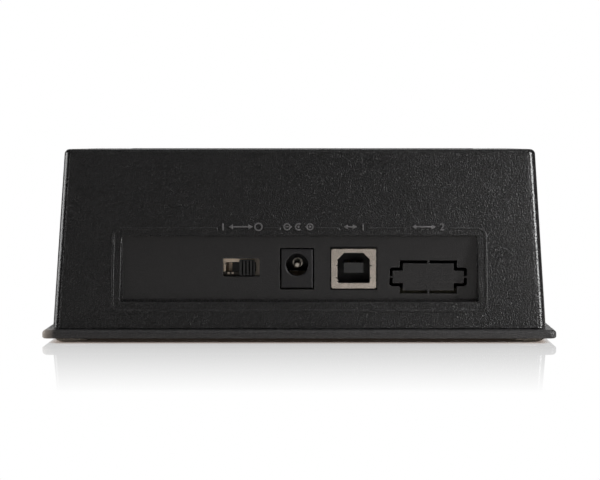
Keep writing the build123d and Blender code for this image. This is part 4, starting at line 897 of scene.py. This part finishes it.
def cross_screw(mesh, seat, up, head, head_height, shank, length, shape):
    """Adds a screw: a domed head with a cross recess, and a thread from the head to a blunt point.

    The seat is the middle of the head's underside, and up is 1 where the shank points up.
    """
    screw = bmesh.new()
    edge = shape.recess * head / 2 * 1.25
    core = shank / 2 * (1 - shape.thread_depth)
    tip = length - shank * 0.35
    profile = [
        (edge, -head_height),
        (head * 0.42, -head_height * 0.82),
        (head * 0.48, -head_height * 0.5),
        (head / 2, -head_height * 0.15),
        (head / 2, 0),
        (core, 0),
        (core, tip),
        (core * 0.6, length),
    ]
    points = [screw.verts.new((radius, 0, z)) for radius, z in profile]
    lines = [screw.edges.new(pair) for pair in zip(points, points[1:])]
    bmesh.ops.spin(
        screw, geom=points + lines, cent=(0, 0, 0), axis=(0, 0, 1), angle=math.tau, steps=24, use_merge=True
    )
    bmesh.ops.remove_doubles(screw, verts=screw.verts, dist=0.001 * MM)
    rims = [e for e in screw.edges if e.is_boundary]
    point_rim = [e for e in rims if e.verts[0].co.z > 0]
    bmesh.ops.contextual_create(screw, geom=point_rim)
    # the recess: a cross let into the dome and drawn in towards its bottom
    arm, half_arm = shape.recess * head / 2, shape.recess * head / 9
    cross = bmesh.ops.create_grid(screw, x_segments=3, y_segments=3, size=1)["verts"]
    for vertex in cross:
        for axis in (0, 1):
            sign = math.copysign(1, vertex.co[axis])
            vertex.co[axis] = sign * (arm if abs(vertex.co[axis]) > 0.5 else half_arm)
        vertex.co.z = -head_height
    corners = [v for v in cross if abs(v.co.x) > 0.9 * arm and abs(v.co.y) > 0.9 * arm]
    bmesh.ops.delete(screw, geom=corners, context="VERTS")
    cross = [v for v in cross if v.is_valid]
    floor_faces = list({f for v in cross for f in v.link_faces})
    outline = [e for e in {e for f in floor_faces for e in f.edges} if e.is_boundary]
    dome_rim = [e for e in screw.edges if e.is_boundary and e not in outline]
    bmesh.ops.bridge_loops(screw, edges=outline + dome_rim)
    sunk = bmesh.ops.extrude_face_region(screw, geom=floor_faces)
    bottom = [v for v in sunk["geom"] if isinstance(v, bmesh.types.BMVert)]
    bmesh.ops.delete(screw, geom=floor_faces, context="FACES_ONLY")
    bmesh.ops.translate(screw, verts=bottom, vec=(0, 0, head_height * 0.7))
    bmesh.ops.scale(screw, verts=bottom, vec=(0.55, 0.55, 1))
    # the thread: a triangular ridge wound round the core
    turns = (tip - shape.thread_pitch * 1.5) / shape.thread_pitch
    root = core - 0.02 * MM
    ridge = [(root, -0.3), (shank / 2, 0), (root, 0.3)]
    start_z = shape.thread_pitch * 0.6
    corners = [screw.verts.new((r, 0, start_z + z * shape.thread_pitch)) for r, z in ridge]
    face = screw.faces.new(corners)
    steps = max(1, round(turns * 16))
    bmesh.ops.spin(
        screw,
        geom=corners + list(face.edges) + [face],
        cent=(0, 0, 0),
        axis=(0, 0, 1),
        dvec=(0, 0, turns * shape.thread_pitch / steps),
        angle=math.tau * turns,
        steps=steps,
    )
    bmesh.ops.recalc_face_normals(screw, faces=screw.faces)
    screw.transform(Matrix.Translation(seat) @ Matrix.Rotation(0 if up > 0 else math.pi, 4, "X"))
    whole = bpy.data.meshes.new("screw")
    screw.to_mesh(whole)
    screw.free()
    mesh.from_mesh(whole)
    bpy.data.meshes.remove(whole)


class DOCK_OT_screws(bpy.types.Operator):
    """Models the screws of the case, the board and the drive bay, with threads and cross recesses"""

    bl_idname = "dock.screws"
    bl_label = "Screws"

    def execute(self, context):
        shape = context.scene.dock_screws
        # node, diameter and height of its heads, diameter of its shanks, 1 where these point up, slot
        kinds = [
            ("case_screws", 5.6 * MM, 1.9 * MM, 2.9 * MM, 1, "case_screw_steel"),
            ("board_screws", 5.0 * MM, 1.8 * MM, 2.6 * MM, -1, "screw_steel"),
            ("bay_frame_screws", 4.2 * MM, 1.5 * MM, 2.2 * MM, 1, "screw_steel"),
        ]
        for node, head, head_height, shank, up, slot in kinds:
            low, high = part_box(node)
            seat_z = low.z + head_height if up > 0 else high.z - head_height
            length = high.z - low.z - head_height
            mesh = bmesh.new()
            for x in (low.x + head / 2, high.x - head / 2):
                for y in (low.y + head / 2, high.y - head / 2):
                    cross_screw(mesh, (x, y, seat_z), up, head, head_height, shank, length, shape)
            piece = new_piece(node + "_threaded", mesh, plated(slot), "case")
            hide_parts(node)
        return {"FINISHED"}


class DOCK_OT_drive_bay(bpy.types.Operator):
    """Finishes the guide frame, the receptacle and the contacts of both sockets"""

    bl_idname = "dock.drive_bay"
    bl_label = "Drive Bay"

    def execute(self, context):
        dress(moulded("frame_plastic"), "drive_bay_frame")
        dress(moulded("receptacle_plastic"), "sata_receptacle")
        dress(plated("contact_gold"), "sata_contacts", "usb_contacts")
        return {"FINISHED"}


class DOCK_OT_flap(bpy.types.Operator):
    """Finishes the dust flap and its hinge pin, and winds its spring of round wire"""

    bl_idname = "dock.flap"
    bl_label = "Dust Flap"

    turns = 4.25
    steps_per_turn = 28
    wire = 0.4 * MM
    leg = 6 * MM

    def execute(self, context):
        dress(moulded("flap_plastic"), "dust_flap")
        dress(plated("pin_steel"), "flap_hinge_pin")
        pin = middle_of("flap_hinge_pin")
        low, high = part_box("flap_spring")
        self.radius = high.z - self.wire / 2 - pin.z
        self.start = Vector((low.x + self.wire, pin.y, pin.z))
        self.advance = (high.x - low.x - 2 * self.wire) / self.turns
        steel = plated("spring_steel")
        coil = self.wind(self.wire / 2, self.turns)
        self.add_leg(coil, Vector((0, 0, -self.leg)))
        piece = new_piece("flap_spring_coil", coil, steel, "case")
        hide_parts("flap_spring")
        # the leg under the flap has a short bend of its own, which turns with it inside the coil's wire
        inside_wire = 0.96 * self.wire / 2
        bend = 0.3
        moving = self.wind(inside_wire, bend)
        self.add_leg(moving, Vector((0, self.leg, 0)), at_start=True)
        new_piece("flap_spring_leg", moving, steel, "flap")
        return {"FINISHED"}

    def wind(self, wire_radius, turns):
        """Round wire wound about the pin, from its top, open at both ends"""
        mesh = bmesh.new()
        top = self.start + Vector((0, 0, self.radius))
        place = Matrix.Translation(top) @ Matrix.Rotation(math.pi / 2, 4, "X")
        ring = bmesh.ops.create_circle(mesh, segments=10, radius=wire_radius, matrix=place)["verts"]
        edges = list({edge for vertex in ring for edge in vertex.link_edges})
        steps = round(turns * self.steps_per_turn)
        bmesh.ops.spin(
            mesh,
            geom=ring + edges,
            cent=self.start,
            axis=(1, 0, 0),
            dvec=(turns * self.advance / steps, 0, 0),
            angle=math.tau * turns,
            steps=steps,
        )
        return mesh

    def add_leg(self, mesh, reach, at_start=False):
        """Draws a straight leg out of the wire's last end, or its first, and closes both ends"""
        rim = [edge for edge in mesh.edges if edge.is_boundary]
        middle_x = self.start.x + (0 if at_start else self.advance * self.turns)
        ends = {True: [], False: []}
        for edge in rim:
            ends[abs(edge.verts[0].co.x - middle_x) < self.wire].append(edge)
        drawn = bmesh.ops.extrude_edge_only(mesh, edges=ends[True])["geom"]
        moved = [item for item in drawn if isinstance(item, bmesh.types.BMVert)]
        bmesh.ops.translate(mesh, verts=moved, vec=reach)
        tip = [item for item in drawn if isinstance(item, bmesh.types.BMEdge) and item.is_boundary]
        bmesh.ops.contextual_create(mesh, geom=tip)
        bmesh.ops.contextual_create(mesh, geom=ends[False])


class DOCK_OT_power_jack(bpy.types.Operator):
    """Finishes the power jack, its pin and its spring"""

    bl_idname = "dock.power_jack"
    bl_label = "Power Jack"

    def execute(self, context):
        dress(moulded("jack_plastic"), "power_jack_housing")
        dress(self.rubbed_nickel(), "power_jack_pin")
        dress(self.rubbed_spring(), "power_jack_spring")
        return {"FINISHED"}

    def rubbed_spring(self):
        """Brass gone brown, with a painted highlight along the top"""
        brown = (0.5, 0.4, 0.3)
        bright = (1.0, 0.9, 0.8)
        material = plated("jack_spring_brass", brown)
        tree, base, color, place = open_color(material)
        top_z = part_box("power_jack_spring")[1].z
        # painted highlight: a pale band along the spring's top
        top = zone(tree, place, (0, 0, top_z), (1, 1, 0.25 * MM), 0.1 * MM)
        tree.links.new(mixed_color(tree, top, color, bright), base)
        return material

    def rubbed_nickel(self):
        """Nickel with painted shade in a ring round the pin's tip"""
        ring_shade_color = (0.07, 0.06, 0.05)
        material = plated("jack_nickel")
        tree, base, color, place = open_color(material)
        low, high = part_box("power_jack_pin")
        radius = (high.x - low.x) / 2
        axis = (low.x + radius, 0, high.z - radius)
        offset = vector_maths(tree, "SUBTRACT", place, axis)
        out = vector_maths(tree, "LENGTH", vector_maths(tree, "MULTIPLY", offset, (1, 0, 1)))
        outside_tip = ramp(tree, out, 0.35 * MM, 0.65 * MM)
        inside_rim = ramp(tree, out, 1.05 * MM, 0.95 * MM)
        # painted shade: a dark ring round the pin's tip
        painted_shade_ring = maths(tree, "MULTIPLY", outside_tip, inside_rim)
        tree.links.new(mixed_color(tree, painted_shade_ring, color, ring_shade_color), base)
        return material


class DOCK_OT_data_socket(bpy.types.Operator):
    """Finishes the data socket's plated shell and its black tongue"""

    bl_idname = "dock.data_socket"
    bl_label = "Data Socket"

    def execute(self, context):
        dress(plated("socket_steel"), "usb_shell")
        dress(moulded("socket_insert_plastic"), "usb_insert")
        return {"FINISHED"}


class DOCK_OT_switch(bpy.types.Operator):
    """Finishes the slide switch"""

    bl_idname = "dock.switch"
    bl_label = "Switch"

    def execute(self, context):
        dress(self.greased_frame(), "switch_frame")
        contact = plated("switch_contact", SLOT_COLORS["switch_steel"], metallic=0.5, tarnish=0.4)
        dress(contact, "switch_contact", "switch_terminals")
        rib_edge = 0.15 * MM
        groove_half = 1 * MM
        groove_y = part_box("switch_knob")[1].y - rib_edge - groove_half
        # painted shade: all of the knob below its ribs' tips is painted nearly black, as in its grooves
        painted_groove_shade = ((0, groove_y, 0), (1, groove_half, 1))
        dress(moulded("knob_plastic", rub=0.1, dark_zone=painted_groove_shade), "switch_knob", "switch_slider")
        pale_laminate = (0.45, 0.33, 0.24)
        dress(moulded("switch_laminate", pale_laminate), "switch_base")
        return {"FINISHED"}

    def greased_frame(self):
        """Bronze plate, with painted shade below the slot and beside the knob, and two painted highlights
        """
        material = plated("switch_steel", metallic=0.5)
        tree, base, color, place = open_color(material)
        low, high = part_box("switch_knob")
        painted_highlight_z = low.z + 0.35 * MM
        # middle and half the size of each painted shade and highlight on the bronze, its blur and its
        # colour
        for middle, half, blur, over in (
            ((0, 0, low.z - 0.7 * MM), (1, 1, 1.5 * MM), 0.3 * MM, (0.03, 0.025, 0.02)),
            ((low.x - 2.9 * MM, 0, 0), (3 * MM, 1, 1), 0.6 * MM, (0.28, 0.24, 0.2)),
            ((high.x + 3.1 * MM, 0, painted_highlight_z), (0.3 * MM, 1, 0.25 * MM), 0.25 * MM, (0.8, 0.68, 0.56)),
            ((high.x + 2 * MM, 0, painted_highlight_z), (0.25 * MM, 1, 0.25 * MM), 0.25 * MM, (0.72, 0.62, 0.52)),
        ):
            color = mixed_color(tree, zone(tree, place, middle, half, blur), color, over)
        tree.links.new(color, base)
        return material


class DOCK_OT_board(bpy.types.Operator):
    """Finishes the main board and the components on it"""

    bl_idname = "dock.board"
    bl_label = "Main Board"

    def execute(self, context):
        dress(printed_board(), "main_board")
        for node, reach in (("bridge_chip", 4.5 * MM), ("voltage_regulator", 3.05 * MM)):
            dress(package_with_leads(node, reach), node)
        dress(can_and_base(), "filter_capacitors")
        dress(moulded("ferrite", specular=0.4), "power_inductor")
        dress(plated("crystal_steel"), "crystal")
        return {"FINISHED"}


class DOCK_OT_lamp(bpy.types.Operator):
    """Finishes the status lamp, its leads and its light pipe"""

    bl_idname = "dock.lamp"
    bl_label = "Status Lamp"

    def execute(self, context):
        dress(clear_plastic("lamp_plastic", 0.12), "status_lamp")
        dress(clear_plastic("pipe_plastic", 0.18), "light_pipe")
        dress(plated("lead_tin"), "status_lamp_leads")
        return {"FINISHED"}


class DOCK_OT_stage(bpy.types.Operator):
    """Sets the floor, the softboxes, the white surroundings and the camera"""

    bl_idname = "dock.stage"
    bl_label = "Stage"

    def execute(self, context):
        light = context.scene.dock_stage
        context.scene.view_settings.view_transform = "Standard"
        self.add_floor(context)
        self.add_surroundings(context, light.ambient)
        # name, power, width and height, and place, in metres, of each softbox
        for softbox in (
            ("left softbox", light.left_lamp, (0.21, 0.2), (0.458, -0.018, 0.13)),
            ("left strip", light.left_lamp / 6, (0.035, 0.3), (0.312, 0.35, 0.1)),
            ("right softbox", light.right_lamp, (0.056, 0.15), (-0.24, 0.126, 0.115)),
            ("right strip", light.right_lamp / 3, (0.035, 0.3), (-0.26, 0.44, 0.1)),
            ("top softbox", light.top_lamp, (0.5, 0.2), (0, 0.1, 0.5)),
        ):
            self.add_softbox(context, *softbox)
        self.add_camera(context, light)
        return {"FINISHED"}

    def add_softbox(self, context, name, power, size, place):
        """A rectangular lamp that faces the middle of the dock"""
        lamp = bpy.data.lights.new(name, "AREA")
        lamp.shape = "RECTANGLE"
        lamp.size, lamp.size_y = size
        lamp.energy = power
        softbox = bpy.data.objects.new(name, lamp)
        middle = Vector((0, 0, 25 * MM))
        turn = (middle - Vector(place)).to_track_quat("-Z", "Y").to_matrix().to_4x4()
        softbox.matrix_world = Matrix.Translation(place) @ turn
        softbox.visible_camera = False
        context.scene.collection.objects.link(softbox)

    def add_surroundings(self, context, ambient):
        """Weak light from all round, a white dome for the camera and the floor, and a white backdrop"""
        world = bpy.data.worlds.new("weak light")
        world.use_nodes = True
        background = world.node_tree.nodes["Background"]
        background.inputs["Strength"].default_value = ambient
        background.inputs["Color"].default_value = (1, 1, 1, 1)
        context.scene.world = world
        mesh = bmesh.new()
        bmesh.ops.create_uvsphere(mesh, u_segments=48, v_segments=24, radius=3)
        sheet = self.white_sheet("white_dome", ambient, floor_only=True)
        dome = self.plain_object(context, "dome", mesh, sheet)
        dome.visible_diffuse = False
        dome.visible_shadow = False
        # behind the dock as the camera sees it, so that the rounded edges mirror it
        mesh = bmesh.new()
        place = Matrix.Translation((0.2, -1.2, 0.25)) @ Matrix.Rotation(-math.pi / 2, 4, "X")
        size = Matrix.Diagonal((0.7, 0.4, 1, 1))
        bmesh.ops.create_grid(mesh, x_segments=1, y_segments=1, size=1, matrix=place @ size)
        sheet = self.white_sheet("white_backdrop", ambient, floor_only=False)
        self.plain_object(context, "backdrop", mesh, sheet)

    def white_sheet(self, name, ambient, floor_only):
        """White to the camera and in reflections, or only in those that the floor mirrors"""
        material = bpy.data.materials.new(name)
        material.use_nodes = True
        tree = material.node_tree
        tree.nodes.remove(tree.nodes["Principled BSDF"])
        path = add_node(tree, "ShaderNodeLightPath").outputs
        mirrored = path["Is Glossy Ray"]
        if floor_only:
            # the ray is followed back to where it starts, which is at height 0 on the floor
            hit = add_node(tree, "ShaderNodeNewGeometry").outputs
            back = scaled(tree, hit["Incoming"], path["Ray Length"])
            height = split(tree, vector_maths(tree, "ADD", hit["Position"], back))["Z"]
            mirrored = maths(tree, "MULTIPLY", mirrored, maths(tree, "LESS_THAN", height, 0.1 * MM))
        seen = maths(tree, "MAXIMUM", seen_directly(tree), mirrored)
        # the sheets hide the world from the dock's own gloss, so they are about as dim as it is
        dim = 0.6 * ambient
        white = add_node(tree, "ShaderNodeEmission", {"Strength": mixed_value(tree, seen, dim, 1.0)})
        tree.links.new(white.outputs[0], tree.nodes["Material Output"].inputs["Surface"])
        return material

    def plain_object(self, context, name, mesh, material):
        """Links a finished bmesh that isn't part of the dock"""
        data = bpy.data.meshes.new(name)
        mesh.to_mesh(data)
        mesh.free()
        data.materials.append(material)
        made = bpy.data.objects.new(name, data)
        context.scene.collection.objects.link(made)
        return made

    def add_floor(self, context):
        """A pale, polished table top, shaded under the dock and plain white away from it"""
        white_color = (1, 1, 1, 1)
        # a warm painted bounce light, glowing where the floor's shade meets the white
        painted_bounce_color = (1.0, 0.72, 0.55)
        mirror_share = 0.42
        mesh = bmesh.new()
        bmesh.ops.create_circle(mesh, cap_ends=True, segments=64, radius=4)
        material, tree, shader, place = start_material("pale_floor", 0.5)
        shader.inputs["Base Color"].default_value = (0.8, 0.77, 0.74, 1)
        mirror = add_node(tree, "ShaderNodeBsdfPrincipled", {"Metallic": 1.0, "Roughness": 0.03})
        mirror.inputs["Base Color"].default_value = white_color
        # how far a point lies outside the shaded part, which ends a little inside the base plate
        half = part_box("base_plate")[1] - Vector((5.5 * MM, 1.9 * MM, 0))
        beyond = vector_maths(tree, "SUBTRACT", vector_maths(tree, "ABSOLUTE", place), (half.x, half.y, 1))
        reach = vector_maths(tree, "LENGTH", vector_maths(tree, "MAXIMUM", beyond, (0, 0, 0)))
        seen = seen_directly(tree)
        lit = ramp(tree, reach, -0.12 * MM, 4 * MM)
        floor_color = mixed_color(tree, lit, painted_bounce_color, white_color[:3])
        white = add_node(tree, "ShaderNodeEmission", {"Color": floor_color, "Strength": 1.0})
        inputs = {0: maths(tree, "MULTIPLY", lit, seen), 1: shader.outputs[0], 2: white.outputs[0]}
        matt = add_node(tree, "ShaderNodeMixShader", inputs)
        shine = maths(tree, "MULTIPLY", ramp(tree, reach, 82 * MM, 2 * MM), mirror_share)
        inputs = {0: maths(tree, "MULTIPLY", shine, seen), 1: matt.outputs[0], 2: mirror.outputs[0]}
        both = add_node(tree, "ShaderNodeMixShader", inputs)
        tree.links.new(both.outputs[0], tree.nodes["Material Output"].inputs["Surface"])
        self.plain_object(context, "floor", mesh, material)

    def add_camera(self, context, light):
        """The viewpoint behind the dock, a little above its roof"""
        lens = bpy.data.cameras.new("camera")
        lens.lens = light.lens
        lens.shift_x = light.shift
        lens.clip_start = 0.01
        camera = bpy.data.objects.new("camera", lens)
        turn = Matrix.Rotation(math.pi, 4, "Z") @ Matrix.Rotation(math.pi / 2 - light.pitch, 4, "X")
        camera.matrix_world = Matrix.Translation(light.viewpoint) @ turn
        context.scene.collection.objects.link(camera)
        context.scene.camera = camera


class DOCK_PT_sidebar(bpy.types.Panel):
    """Buttons and sizes in the sidebar"""

    bl_label = "Docking Station"
    bl_idname = "DOCK_PT_sidebar"
    bl_space_type = "VIEW_3D"
    bl_region_type = "UI"
    bl_category = "Dock"

    def draw(self, context):
        for group in SETTINGS:
            box = self.layout.box()
            settings = getattr(context.scene, group)
            for key in settings.__annotations__:
                box.prop(settings, key)
        for operator in OPERATORS:
            self.layout.operator(operator.bl_idname)


SETTINGS = {
    "dock_case": CaseFinish,
    "dock_marks": MarkShape,
    "dock_screws": ScrewShape,
    "dock_stage": StageLight,
}
OPERATORS = (
    DOCK_OT_case,
    DOCK_OT_marks,
    DOCK_OT_screws,
    DOCK_OT_drive_bay,
    DOCK_OT_flap,
    DOCK_OT_power_jack,
    DOCK_OT_data_socket,
    DOCK_OT_switch,
    DOCK_OT_board,
    DOCK_OT_lamp,
    DOCK_OT_stage,
)


def register():
    for cls in (*SETTINGS.values(), *OPERATORS, DOCK_PT_sidebar):
        bpy.utils.register_class(cls)
    for name, settings in SETTINGS.items():
        setattr(bpy.types.Scene, name, bpy.props.PointerProperty(type=settings))


def unregister():
    for name in SETTINGS:
        delattr(bpy.types.Scene, name)
    for cls in reversed((*SETTINGS.values(), *OPERATORS, DOCK_PT_sidebar)):
        bpy.utils.unregister_class(cls)


def main():
    register()
    bpy.ops.dock.case()
    bpy.ops.dock.marks()
    bpy.ops.dock.screws()
    bpy.ops.dock.drive_bay()
    bpy.ops.dock.flap()
    bpy.ops.dock.power_jack()
    bpy.ops.dock.data_socket()
    bpy.ops.dock.switch()
    bpy.ops.dock.board()
    bpy.ops.dock.lamp()
    bpy.ops.dock.stage()


if __name__ == "__main__":
    main()
